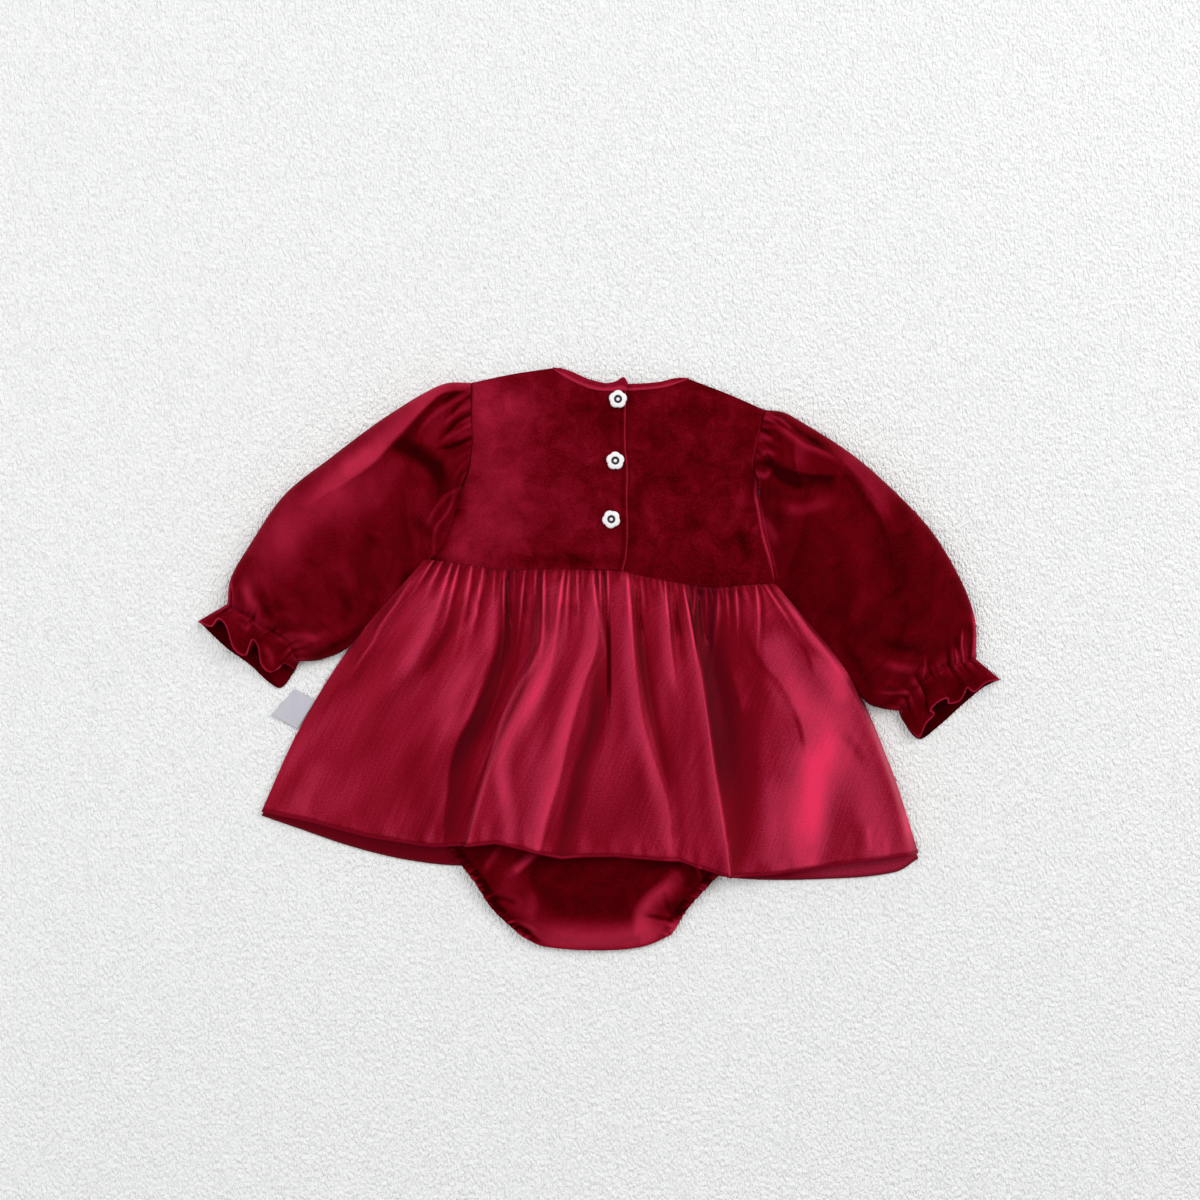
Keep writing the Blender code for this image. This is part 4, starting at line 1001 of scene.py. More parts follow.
def make_skirt_back(rows=128, columns=344):
    """The gathered back of the skirt."""
    down = skirt_rows(rows)
    lines, x, lift = skirt_lines(columns, down)
    waist_points, hem_line = curve(WAIST)(np.linspace(0.0, 1.0, 200)), np.array(HEM_BACK)
    waist_y = np.interp(lines[:, 0], waist_points[:, 0], waist_points[:, 1]) - SEWN
    hem_y = np.interp(lines[:, 3], hem_line[:, 0], hem_line[:, 1])
    y = waist_y + (hem_y - waist_y) * down[:, None]
    away, to_hem = (waist_y - hem_y) * down[:, None], (waist_y - hem_y) * (1.0 - down[:, None])
    waist_x = np.broadcast_to(lines[:, 0], x.shape)
    ends = ease(np.minimum(waist_x - SKIRT_ENDS[0], SKIRT_ENDS[1] - waist_x) / 3.0)
    gathers = skirt_gathers(waist_x, away) * ends
    hem, seam = fade((to_hem - HEM_WIDTH + HEM_SOFT) / HEM_SOFT), ridge(to_hem - SEAM_LINE, 1.1)
    swells = 0.22 * undulation(waist_x * 3.0, y, 26.0, 5) * ends * ease(away / 40.0)
    z = skirt_bed(x, y) + SATIN + lift + gathers + crease_height(x, y, SKIRT_CREASES)
    z = z + HEM_RISE * hem - 0.2 * seam + swells
    points = points_of(x, y, z)
    # Painted light and shade of the satin, none on the hem itself, and painted shade along the hem's seam.
    gloss = skirt_shine(x, y, waist_x, away, to_hem, gathers) * (1.0 - hem) - 0.3 * seam
    print("skirt back:", round(cloth_area(points), 4), "square metres")
    return cloth("skirt_back", points, satin, BACK_WALL, in_cloth(points), hem=hem, gloss=gloss), points


skirt_back, skirt_net = make_skirt_back()
crisp_rim(skirt_back)

# %% Front skirt
SKIRT_LEFT_EDGE = ((-118.5, 65), (-167.5, 9), (-203, -48.5))
SKIRT_RIGHT_EDGE = ((119.7, 48.8), (169, -11), (197, -72))
HEM_FRONT = ((-229.2, -107.4), (-204, -116.2), (-169.5, -128), (-133, -137), (-94, -141.4), (-40, -138),
             (40, -140), (93, -150), (160, -150.2), (202, -145.6), (217, -136.4))
SKIRT_LENGTH = 190.0
# Painted shade on the front under the back's hem, and painted light where the front lies open at the right.
SHADED_GLOSS, LIT_GLOSS = -0.5, 0.25    # under the back's hem, and where the front lies open at the right
LIT_FROM, LIT_OVER = 100.0, 60.0


def make_skirt_front():
    """The skirt's front, flat on the table; its hem shows below the back's."""
    u, v = net(70, 180)
    waist = below_waist(SKIRT_LEFT_EDGE[0], SKIRT_RIGHT_EDGE[0], 1.6 * WAIST_SEAM)
    left = curve((HEM_FRONT[0], *SKIRT_LEFT_EDGE[::-1]))
    right = curve((HEM_FRONT[-1], *SKIRT_RIGHT_EDGE[::-1]))
    x, y = np.moveaxis(coons(curve(HEM_FRONT), waist, left, right, u, v), -1, 0)
    points = points_of(x, y, SATIN)
    hem = fade((v * SKIRT_LENGTH - HEM_WIDTH + HEM_SOFT) / HEM_SOFT)
    gloss = SHADED_GLOSS + (LIT_GLOSS - SHADED_GLOSS) * ease((x - LIT_FROM) / LIT_OVER)
    print("skirt front:", round(cloth_area(points), 4), "square metres")
    return cloth("skirt_front", points, satin, SATIN, in_cloth(points), hem=hem, gloss=gloss)


skirt_front = make_skirt_front()

# %% [markdown]
# ## The bodice
#
# The bodice is a flat front with the back on it. The back opens down its middle: the left half laps over
# the right one by a finger's width, so the nets of both halves come from one surface, and the left one
# rises onto the right one before the overlap. The placket's edge is a fold of the cloth and not a cut, so
# it is rounded.

# %% Bodice outlines
SIDE_LEFT = ((-114, 66.3), (-107.2, 74), (-98.6, 94))
ARMHOLE_LEFT = ((-93, 114.6), (-88, 129), (-85.5, 146), (-86.2, 165), (-86.6, 186.3))
SIDE_RIGHT = ((119.7, 50), (116.4, 68), (110, 96))
ARMHOLE_RIGHT = ((107, 119), (104.8, 131), (106.5, 143), (110, 157), (112.5, 167.8))
SHOULDER_LEFT = ((-86.6, 186.3), (-60, 192), (-31.8, 196.3))
SHOULDER_RIGHT = ((61, 188.9), (87, 179), (112.5, 167.8))
NECKLINE_BACK = ((-31.8, 196.3), (-19, 187.6), (-2, 181), (19, 180.8), (44, 183.2), (61, 188.9))
NECKLINE_FRONT = ((-31.8, 196.3), (-18, 176), (13, 164), (44, 170), (61, 188.9))
NECK_START, NECK_END = 0.28, 0.76           # neckline on the top edge
UNDERARM_LEFT, UNDERARM_RIGHT = 0.42, 0.58  # start of the armhole on each side edge
print("the shoulders are", SHOULDER_RIGHT[-1][0] - SHOULDER_LEFT[0][0], "mm apart")

# %% Bodice creases and strokes of painted light and shade
# A stroke is a painted highlight where its lift is positive, and painted shade where it is negative.
BODICE_CREASES = (
    Crease(((-60, 176), (-66, 150), (-60, 130)), 0.9, 24, 24, 0, 0),
    Crease(((-96, 104), (-80, 96), (-60, 92)), 0.7, 14, 16, 0.2, 0),
    Crease(((26, 112), (36, 92), (46, 70)), 0.9, 7, 7, 0, 0.2),
    Crease(((84, 112), (92, 92), (96, 76)), 0.7, 9, 9, 0, 0),
    Crease(((106.6, 120), (106.2, 112), (108.4, 98.4), (111.6, 81.4), (115.6, 67.8), (119, 56)), 1.2, 1.8,
            2.4, 0.7, 0.6),
)
BODICE_PAINTED_SHADING = (
    Crease(((-84, 182), (-72, 150), (-72, 120), (-78, 90), (-94, 74)), 0.24, 44, 30, 0.9, 0.9),
    Crease(((-72, 172), (-56, 171), (-36, 167)), 0.16, 14, 16, 0.6, 0.4),
    Crease(((-84, 172), (-78, 160)), 0.1, 10, 10, 0.6, 0.6),
    Crease(((-58, 122), (-54, 106)), 0.1, 11, 11, 0.5, 0.5),
    Crease(((-66, 88), (-50, 80)), 0.12, 12, 12, 0.4, 0.4),
    Crease(((-34, 104), (-20, 112), (-10, 106)), 0.1, 13, 14, 0.3, 0.3),
    Crease(((-97, 112), (-103.5, 95), (-109.5, 80), (-114, 66)), -0.36, 12, 14, 0.2, 0.9),
    Crease(((-88, 84), (-94, 72)), 0.16, 7, 7, 0.6, 0.5),
    Crease(((112.2, 167), (109.6, 156), (106.2, 143), (104.5, 131), (106.6, 121)), 0.24, 1.4, 2, 0.8, 0.6),
    Crease(((-12, 174), (2, 164), (8, 148)), -0.16, 18, 20, 0.7, 0.3),
    Crease(((-64, 66), (-36, 66), (10, 66)), -0.14, 8, 7, 0.3, 0.7),
    Crease(((27, 112), (34, 94), (44, 74)), 0.1, 6, 6, 0.1, 0.6),
    Crease(((22, 124), (24, 112)), 0.08, 5, 5, 0.5, 0.3),
    Crease(((34, 176), (52, 164)), 0.06, 10, 10, 0.3, 0.1),
    Crease(((96, 86), (100, 68)), -0.1, 6, 6, 0.2, 0.6),
    Crease(((104.8, 84.8), (108, 91.6)), 0.2, 3, 4, 0.4, 0.4),
    Crease(((99, 120), (95, 104), (90, 88)), 0.14, 7, 7, 0.3, 0.3),
    Crease(((106.6, 121), (106.2, 112), (108.4, 98.4), (111.6, 81.4), (115.6, 67.8), (119.4, 54)), 0.75, 1.8,
            1.8, 0.7, 0.7),
)
print("bodice:", len(BODICE_CREASES), "creases,", len(BODICE_PAINTED_SHADING), "strokes")

# %% Bodice heights
BODY_RISE, NECK_RISE, ARMHOLE_RISE = 3.0, 0.75, 5.4
SIDE_SLOPE, ARMHOLE_SLOPE, SHOULDER_SLOPE = 0.24, 0.24, 0.14
PLACKET_LAP = 20.0
LIFT_START, LIFT_RUN = 30.0, 29.0


def bodice_edges(neckline):
    """Edge curves of a bodice piece with the given neckline."""
    top = chain([curve(SHOULDER_LEFT), curve(neckline), curve(SHOULDER_RIGHT)], [NECK_START, NECK_END])
    left = chain([curve(SIDE_LEFT + ARMHOLE_LEFT[:1]), curve(ARMHOLE_LEFT)], [UNDERARM_LEFT])
    right = chain([curve(SIDE_RIGHT + ARMHOLE_RIGHT[:1]), curve(ARMHOLE_RIGHT)], [UNDERARM_RIGHT])
    return curve(WAIST), top, left, right


def armhole_share(inwards, v, underarm):
    """How much of the armhole's rise a place has, from how far it lies in from that side."""
    along = np.sin(np.pi * np.clip((v - underarm) / (1.0 - underarm), 0.0, 1.0))
    return along * fade(inwards / ARMHOLE_SLOPE)


def bodice_back_surface(u, v):
    """Lower surface of the bodice's back, whole: it rises from the side seams and stands open at armholes."""
    x, y = np.moveaxis(coons(*bodice_edges(NECKLINE_BACK), u, v), -1, 0)
    neck = np.sin(np.pi * np.clip((u - NECK_START) / (NECK_END - NECK_START), 0.0, 1.0))
    shoulder = 1.0 - ease((v - 1.0 + SHOULDER_SLOPE) / SHOULDER_SLOPE) * (1.0 - NECK_RISE * neck)
    rise = BODY_RISE * ease(np.minimum(u, 1.0 - u) / SIDE_SLOPE) * shoulder
    armhole = ARMHOLE_RISE * (armhole_share(u, v, UNDERARM_LEFT) + armhole_share(1.0 - u, v, UNDERARM_RIGHT))
    return points_of(x, y, LAYER + (rise ** 4 + armhole ** 4) ** 0.25)


def placket_edge(v):
    """Where the top half of the placket ends, as a share of the bodice's width."""
    return 0.556 + 0.028 * v - 0.038 * v ** 2


def placket_lift(x_from_edge):
    """The left half rises onto the right half along the placket's overlap."""
    return LAYER * ease((x_from_edge + PLACKET_LAP + LIFT_START) / LIFT_RUN)


print("the placket's edge is at", round(placket_edge(0.5), 3), "of the bodice's width")

# %% Bodice
NAP_AND_PAINTED_LIGHT_LEFT, NAP_AND_PAINTED_SHADE_RIGHT = 0.29, 0.22
ARMHOLE_SEAM, ARMHOLE_SEAM_WIDTH = 0.008, 0.010    # where its seam stands up, as shares of the width
PLACKET_FOLD = 1.1                                 # radius of the placket's folded edge
PLACKET_SEAM = 0.5 - PLACKET_LAP                   # the placket's stitched line, counted from its edge


def bodice_relief(points, u, v):
    """What the back's cloth adds to its form: creases, swells, and seams that pull it down at its edges."""
    x, y = points[..., 0], points[..., 1]
    side = np.minimum(u, 1.0 - u)
    inner = ease(side / 0.04) * ease((1.0 - v) / 0.05)
    armhole = np.where(u < 0.5, v > UNDERARM_LEFT, v > UNDERARM_RIGHT)
    added = (crease_height(x, y, BODICE_CREASES) + 0.25 * undulation(x, y, 30.0, 7)) * inner
    added = added + 0.7 * armhole * ridge(side - ARMHOLE_SEAM, ARMHOLE_SEAM_WIDTH) - 0.3 * fade(v / 0.035)
    return points_of(0.0, 0.0, added)


def rounded_edge(distance, radius):
    """How far a folded edge has come down at a distance in from it."""
    inwards = np.clip(distance / radius, 0.0, 1.0)
    return radius * (np.sqrt(1.0 - (1.0 - inwards) ** 2) - 1.0)


def make_bodice_front():
    """The front, flat on the table."""
    u, v = net(50, 60)
    x, y = np.moveaxis(coons(*bodice_edges(NECKLINE_FRONT), u, v), -1, 0)
    points = points_of(x, y, VELVET)
    return cloth("bodice_front", points, velvet_bodice, VELVET, points)


def make_bodice_left():
    """Left half of the back, which rises onto the right one and ends in the placket's folded edge."""
    u, v = net(130, 130)
    u, edge = 1.0 - (1.0 - u) ** 1.25, placket_edge(v)
    points = bodice_back_surface(u * edge, v)
    from_edge = points[..., 0] - bodice_back_surface(edge, v)[..., 0]
    points[..., 2] += placket_lift(from_edge) + VELVET + rounded_edge(-from_edge, PLACKET_FOLD)
    points[..., 2] -= 0.35 * ridge(from_edge - PLACKET_SEAM, 1.2) * (v < 0.55)
    points[..., 2] += 0.4 * ridge(from_edge + 1.2, 1.2)
    points += bodice_relief(points, u * edge, v)
    # Nap level: the left half is set lighter than the right one, painted light, with strokes of painted light
    # and shade; the placket's fold gets a painted highlight, and painted shade a little in from it.
    nap = NAP_AND_PAINTED_LIGHT_LEFT + crease_height(points[..., 0], points[..., 1], BODICE_PAINTED_SHADING)
    nap = nap + 0.45 * ridge(from_edge + 0.5, 0.9) - 0.12 * ridge(from_edge + 3.0, 2.5)
    return cloth("bodice_back_left", points, velvet_bodice, VELVET, points, nap=nap), points


def make_bodice_right():
    """Right half of the back, which reaches under the left one by the placket's lap."""
    u, v = net(120, 120)
    start = placket_edge(v) - PLACKET_LAP / (WAIST[-1][0] - WAIST[0][0])
    whole = start + u * (1.0 - start)
    points = bodice_back_surface(whole, v)
    points[..., 2] += VELVET
    points += bodice_relief(points, whole, v)
    # Nap level: the right half is set darker than the left one, painted shade, with strokes of painted light
    # and shade.
    nap = NAP_AND_PAINTED_SHADE_RIGHT + crease_height(points[..., 0], points[..., 1], BODICE_PAINTED_SHADING)
    return cloth("bodice_back_right", points, velvet_bodice, VELVET, points, nap=nap), points


bodice_front = make_bodice_front()
bodice_left, left_net = make_bodice_left()
bodice_right, right_net = make_bodice_right()
for piece in (bodice_left, bodice_right):
    crisp_rim(piece)
print("halves of the back:", [round(cloth_area(each), 4) for each in (left_net, right_net)], "square metres")

# %% [markdown]
# ## The neck binding
#
# A narrow strip of the velvet is folded over the neck edge and sewn down, so it is a round, slightly plump
# cord of cloth. It's built as a ring of points that is swept along the neckline. The left strip lies over
# the right one where the placket overlaps.

# %% Neck binding
NECK_TOP_LEFT = ((-31, 197), (-21, 195), (-7.5, 189), (4, 185.8), (11, 186.8), (16.8, 189.7), (19.6, 185.6))
NECK_TOP_RIGHT = ((-1, 185), (20, 185.4), (40, 186.8), (52, 189.6), (61.2, 189.7))
NECK_MIDDLE = (14.0, 200.0)
BINDING = 2.0
BINDING_NAP, BINDING_FOLD_PAINTED_HIGHLIGHT = 0.40, 0.95
NECK_SEAM = 0.5
BINDING_LAP = 0.75   # the binding's round edge comes this much closer to the bodice
FRONT_BINDING_WIDTH = 5.0
LAP_ON_NECK, EDGE_ON_NECK = 0.335, 0.5555
OVER_START, OVER_RUN = 0.24, 0.07
SECTION_SPOTS, BINDING_STEPS = 16, 110


def full_turn(spots):
    """Angles of this many spots around a ring."""
    return 2.0 * math.pi * np.arange(spots) / spots


def softly(wave, power):
    """A wave between -1 and 1 made fuller, so that a ring drawn with it comes closer to a square."""
    return np.sign(wave) * np.abs(wave) ** power


def make_band(name, near, far, low, thick):
    """A folded strip between two lines: an oval section swept along them, closed at its ends."""
    turn = full_turn(SECTION_SPOTS)
    share = 0.5 - 0.5 * softly(np.cos(turn), 0.8)
    place = near[:, None] + (far - near)[:, None] * share[:, None]
    z = low[:, None] + thick * (0.5 + 0.5 * softly(np.sin(turn), 0.6))
    points = points_of(place[..., 0], place[..., 1], z)
    mesh = mesh_from(name, points, closed_faces(len(near), SECTION_SPOTS))
    on_fold = (share > 0.02) & (share < 0.3)
    paint(mesh, "thread", points * MM)
    # Nap level: a painted highlight on the strip's rounded fold, and painted light growing towards its far
    # side.
    paint(mesh, "nap", np.tile(np.where(on_fold, BINDING_FOLD_PAINTED_HIGHLIGHT, BINDING_NAP + 0.15 * share), len(near)))
    return link(name, mesh, [velvet_bodice], name)


def make_back_binding(name, start, end, top, rise):
    """Binding of one half of the back, between two shares of the neckline; the upper one rises at its lap."""
    t = np.linspace(0.0, 1.0, BINDING_STEPS + 1)
    share = start + t * (end - start)
    low = LAYER + BODY_RISE * NECK_RISE * np.sin(np.pi * share) + rise * ease((share - OVER_START) / OVER_RUN)
    near = curve(curve(NECKLINE_BACK)(share) + np.array([0.0, NECK_SEAM - BINDING_LAP]))(t)
    return make_band(name, near, curve(top)(t), low, BINDING)


def make_front_binding():
    """Binding of the front, which turns in towards the middle of the neck."""
    line = curve(NECKLINE_FRONT)(np.linspace(0.0, 1.0, BINDING_STEPS + 1))
    inwards = np.array(NECK_MIDDLE) - line
    inwards /= np.linalg.norm(inwards, axis=1)[:, None]
    near = line + 3.0 * NECK_SEAM * inwards
    far = near + FRONT_BINDING_WIDTH * inwards
    return make_band("neck_binding_front", near, far, np.zeros(len(line)), VELVET)


binding_left = make_back_binding("neck_binding_back_left", 0.0, EDGE_ON_NECK, NECK_TOP_LEFT, BINDING + GAP)
binding_right = make_back_binding("neck_binding_back_right", LAP_ON_NECK, 1.0, NECK_TOP_RIGHT, 0.0)
binding_front = make_front_binding()
print("bindings:", binding_left.name, binding_right.name, binding_front.name)

# %% [markdown]
# ## The sleeves
#
# Each sleeve is one tube: gathered into the armhole, puffed, gathered again by an elastic, and ended by a
# frill. Lying flat, the tube has a flat underside and a rounded top. It is drawn as rings, from the armhole
# to the frill's edge; a ring is flat below and puffed above. A puffed sleeve creases where it is pinched at
# the underarm and at the armhole seam, and those creases are what gives it life, so each one has its own
# line.

# %% Sleeve sections and frills
Section = namedtuple("Section", "station outer_x outer_y inner_x inner_y height")
SLEEVE_LEFT = (
    Section(0, -87.5, 186.4, -94, 114.6, 8.6),
    Section(0.12, -104, 185.8, -99.6, 93.5, 15),
    Section(0.23, -121, 177.8, -107.6, 76.5, 19),
    Section(0.33, -138.4, 167, -119.4, 67.2, 20.6),
    Section(0.42, -154.6, 156, -128.8, 55.6, 21),
    Section(0.55, -182, 135.2, -142.4, 40.4, 21),
    Section(0.7, -213.4, 109.8, -156.2, 24.6, 21),
    Section(0.82, -236.2, 76.8, -170.6, 6.6, 19),
    Section(0.92, -249.4, 54, -188.4, -1.4, 14),
    Section(1, -252, 36.4, -203.3, -2.8, 8),
)
SLEEVE_RIGHT = (
    Section(0, 113.3, 168, 107.9, 119, 8.6),
    Section(0.12, 126, 165.8, 111.6, 94, 15),
    Section(0.23, 143.4, 156, 117.8, 68, 19),
    Section(0.33, 160.6, 145.2, 121.4, 50.8, 20.6),
    Section(0.42, 176.4, 133.8, 133, 36, 21),
    Section(0.55, 200, 112.8, 150.6, 14.6, 21),
    Section(0.7, 225.4, 85.4, 167.4, -6.6, 21),
    Section(0.82, 244.6, 53.5, 180, -28.8, 19),
    Section(0.92, 255, 25, 189.6, -34, 14),
    Section(1, 255.6, -0.9, 203.3, -36.2, 8),
)
FRILL_TOP_LEFT = ((-206, -8, 3), (-213, -4, 6), (-222, -10, 4.6), (-228, -5, 7), (-229.6, 8, 11),
                  (-233, 13, 13), (-236, 8, 10), (-240, 1.4, 6), (-246.5, 6, 8), (-251, 22, 12),
                  (-256, 27, 12), (-263, 21.4, 6), (-272, 24.6, 3))
FRILL_UNDER_LEFT = ((-206, -8), (-216, -20.6), (-224, -17), (-237, -5), (-253, 6.5), (-272, 24.6))
FRILL_TOP_RIGHT = ((205, -41, 3), (216, -54, 5), (221, -44, 8), (226, -38.6, 8), (222.6, -35.6, 11),
                   (229, -29, 12), (235, -27, 12), (237, -31, 7), (244, -29, 7), (248, -20, 11),
                   (254, -23, 7), (262, -17, 5), (272, -14.8, 3))
FRILL_UNDER_RIGHT = ((205, -41), (217, -55.4), (229, -48), (247, -32), (261, -20.5), (272, -14.8))
ELASTIC_LEFT = ((-203.3, -2.8), (-209, 10), (-223, 19), (-232, 25.5), (-252, 36.4))
ELASTIC_RIGHT = ((203.3, -36.2), (211, -22), (226, -9.6), (239, -4), (255.6, -0.9))
print("sleeve sections:", len(SLEEVE_LEFT), len(SLEEVE_RIGHT))

# %% Left sleeve creases and strokes of painted light and shade
# A stroke is a painted highlight where its lift is positive, and painted shade where it is negative.
LEFT_CREASES = (
    Crease(((-86.5, 181.4), (-98, 181), (-106.4, 178.3), (-112.7, 173), (-120, 165.7), (-128.4, 156.3),
            (-138.8, 144.8), (-151.4, 131.2), (-165, 121.8)), 3, 3, 15, 0.5, 0),
    Crease(((-88, 178), (-102, 168.8), (-112.7, 160.5), (-119, 153), (-122, 145.8)), 1.5, 6, 5, 0.5, 0),
    Crease(((-86.5, 158.4), (-98, 151), (-106.4, 144.8)), 1.5, 3.5, 4.5, 0.5, 0),
    Crease(((-134, 140), (-118, 134), (-109, 125), (-104, 114)), -3, 10, 10, 0, 0),
    Crease(((-92.8, 115.5), (-102, 110), (-109.6, 101), (-118, 87)), 1.7, 6, 2.6, 0.5, 0.1),
    Crease(((-97, 111.3), (-102, 98.8), (-110.6, 86.2), (-112.2, 71.6)), 1.6, 5, 2.6, 0.4, 0.1),
    Crease(((-118, 96), (-122, 88), (-126, 74)), -1.4, 8, 9, 0, 0),
    Crease(((-214, 40), (-194, 34), (-172, 38)), -1.6, 14, 12, 0, 0),
    Crease(((-246, 60), (-247, 49), (-248, 38)), 1.8, 4, 6, 0, 0.3),
    Crease(((-232, 36), (-230, 46), (-226, 58)), 2, 6, 7, 0.3, 0),
    Crease(((-207, 3), (-192, 6.5), (-174, 12), (-160, 22)), 2, 7, 3, 0.4, 0.2),
    Crease(((-220, 18), (-205, 20), (-188, 18)), -1.6, 7, 6, 0.3, 0),
    Crease(((-150, 150), (-185, 118), (-212, 84)), 1, 16, 18, 0, 0),
)
LEFT_PAINTED_SHADING = (
    Crease(((-86.5, 181.4), (-98, 181), (-106.4, 178.3), (-112.7, 173), (-120, 165.7), (-128.4, 156.3),
            (-138.8, 144.8), (-151.4, 131.2), (-165, 121.8), (-178, 113)), 0.54, 2.4, 24, 0.6, 0.4),
    Crease(((-94, 172), (-108, 162), (-116, 148)), 0.1, 14, 10, 0.6, 0.3),
    Crease(((-158, 118), (-150, 108), (-148, 96)), 0.1, 12, 12, 0.3, 0.3),
    Crease(((-148, 140), (-160, 132), (-174, 122)), 0.34, 8, 14, 0.3, 0.2),
    Crease(((-150, 122), (-175, 110), (-198, 96), (-216, 76), (-228, 56)), 0.4, 28, 26, 0.3, 0.3),
    Crease(((-92, 181), (-106, 176), (-116, 166), (-125, 155), (-136, 143), (-146, 133)), -0.16, 12, 2, 0.6,
            0.1),
    Crease(((-134, 141), (-120, 136), (-110, 127), (-105, 113)), -0.34, 11, 9, 0.5, 0.4),
    Crease(((-87, 165), (-96, 159), (-101, 153), (-106, 148)), -0.3, 2.6, 2.6, 0.7, 0.3),
    Crease(((-87, 148), (-98, 142.7), (-107.4, 140.5)), -0.28, 2.4, 3.4, 0.7, 0.4),
    Crease(((-87, 176.5), (-94, 171), (-101, 161.5)), -0.26, 2.2, 2.2, 0.7, 0.2),
    Crease(((-87, 182), (-98, 177), (-109, 169.5)), -0.16, 2.2, 2.2, 0.7, 0.2),
    Crease(((-88, 179), (-102, 169.5), (-112.7, 161.5), (-119, 153), (-122, 145.8)), 0.2, 3, 3, 0.8, 0.2),
    Crease(((-87, 170.5), (-97, 164), (-106, 155)), 0.22, 2.2, 2.6, 0.8, 0.1),
    Crease(((-86.5, 157.4), (-98, 150), (-106.4, 144.8)), 0.22, 2.6, 2.6, 0.8, 0.1),
    Crease(((-92.8, 115.5), (-102, 110), (-109.6, 101), (-118, 87)), 0.22, 3, 1.6, 0.7, 0.4),
    Crease(((-97, 111.3), (-102, 98.8), (-110.6, 86.2), (-112.2, 71.6)), 0.25, 1.8, 1.8, 0.6, 0.5),
    Crease(((-93.5, 113), (-93, 104), (-96, 97)), -0.2, 2.5, 2.5, 0.5, 0.3),
    Crease(((-124, 94), (-116, 86), (-110, 80)), -0.14, 6, 6, 0.4, 0.4),
    Crease(((-150, 84), (-154, 72)), -0.08, 9, 9, 0.3, 0.3),
    Crease(((-128, 58), (-134, 48)), -0.16, 5, 6, 0.4, 0.4),
    Crease(((-172, 43), (-170, 33), (-174, 24)), -0.14, 6, 6, 0.4, 0.2),
    Crease(((-150, 46), (-155, 28), (-164, 17), (-178, 9)), -0.16, 6, 6, 0.3, 0.6),
    Crease(((-219, 42), (-212, 30)), -0.1, 7, 7, 0.3, 0.3),
    Crease(((-238, 52), (-235.5, 42), (-230, 32)), 0.42, 6, 6, 0.3, 0.7),
    Crease(((-248.5, 54), (-247, 44), (-248, 36)), 0.4, 1.4, 1.4, 0.3, 0.7),
    Crease(((-227, 48), (-224, 36), (-219, 26)), -0.14, 5, 5, 0.3, 0.4),
    Crease(((-243, 24), (-237, 20), (-236, 27)), 0.24, 3, 3, 0.5, 0.3),
    Crease(((-226, 8), (-222, 2), (-221, -5)), 0.26, 4, 4, 0.3, 0.6),
    Crease(((-214, 13), (-204, 14), (-190, 14), (-182, 17)), 0.28, 5, 5, 0.6, 0.3),
    Crease(((-206, 2), (-192, 2), (-176, 8)), -0.16, 4, 4, 0.5, 0.4),
)
print("left sleeve:", len(LEFT_CREASES), "creases,", len(LEFT_PAINTED_SHADING), "strokes")

# %% Right sleeve creases and strokes of painted light and shade
RIGHT_CREASES = (
    Crease(((112.7, 163), (120.7, 156.2), (129.7, 149.4), (136.5, 143.7), (146.8, 139.8), (157, 134.6),
            (164, 128)), 1.6, 6, 9, 0.5, 0),
    Crease(((113.9, 165.3), (123, 159.6), (132, 151.7)), 1.4, 3, 3, 0.6, 0),
    Crease(((158, 139), (170.6, 125.6), (182, 112), (191, 98.4)), 2.2, 14, 3, 0, 0),
    Crease(((131, 143), (131, 135), (133, 126)), 1.4, 9, 2.4, 0.2, 0),
    Crease(((118, 127), (134, 121), (160, 118)), -2.4, 9, 9, 0, 0),
    Crease(((107.5, 137), (114, 138.5), (119, 134)), 1.6, 3, 4, 0.5, 0.1),
    Crease(((106.5, 124.5), (112, 123), (116, 128)), 1.8, 4.5, 3, 0.5, 0.1),
    Crease(((117.8, 66), (117, 60), (117.5, 53)), 1.2, 2.4, 2.4, 0.4, 0.3),
    Crease(((118, 100), (132, 84), (146, 60)), -1, 10, 10, 0, 0),
    Crease(((140, 110), (162, 84), (182, 52)), 1, 16, 14, 0, 0),
    Crease(((160, 20), (176, 10), (198, 6)), -1.6, 12, 10, 0, 0),
    Crease(((196, 14), (210, 6), (222, -2)), -1.4, 10, 8, 0, 0),
    Crease(((240, 20), (243, 9), (245, -2)), 1.8, 5, 5, 0, 0.4),
    Crease(((251, 28), (253, 12), (251, 0)), 1.6, 3.5, 3.5, 0, 0.4),
    Crease(((190, -4), (202, -7), (214, -9)), 1.8, 6, 5, 0.2, 0.2),
    Crease(((190, -17), (200, -20), (208, -22)), 1.6, 4, 4, 0.2, 0.4),
)
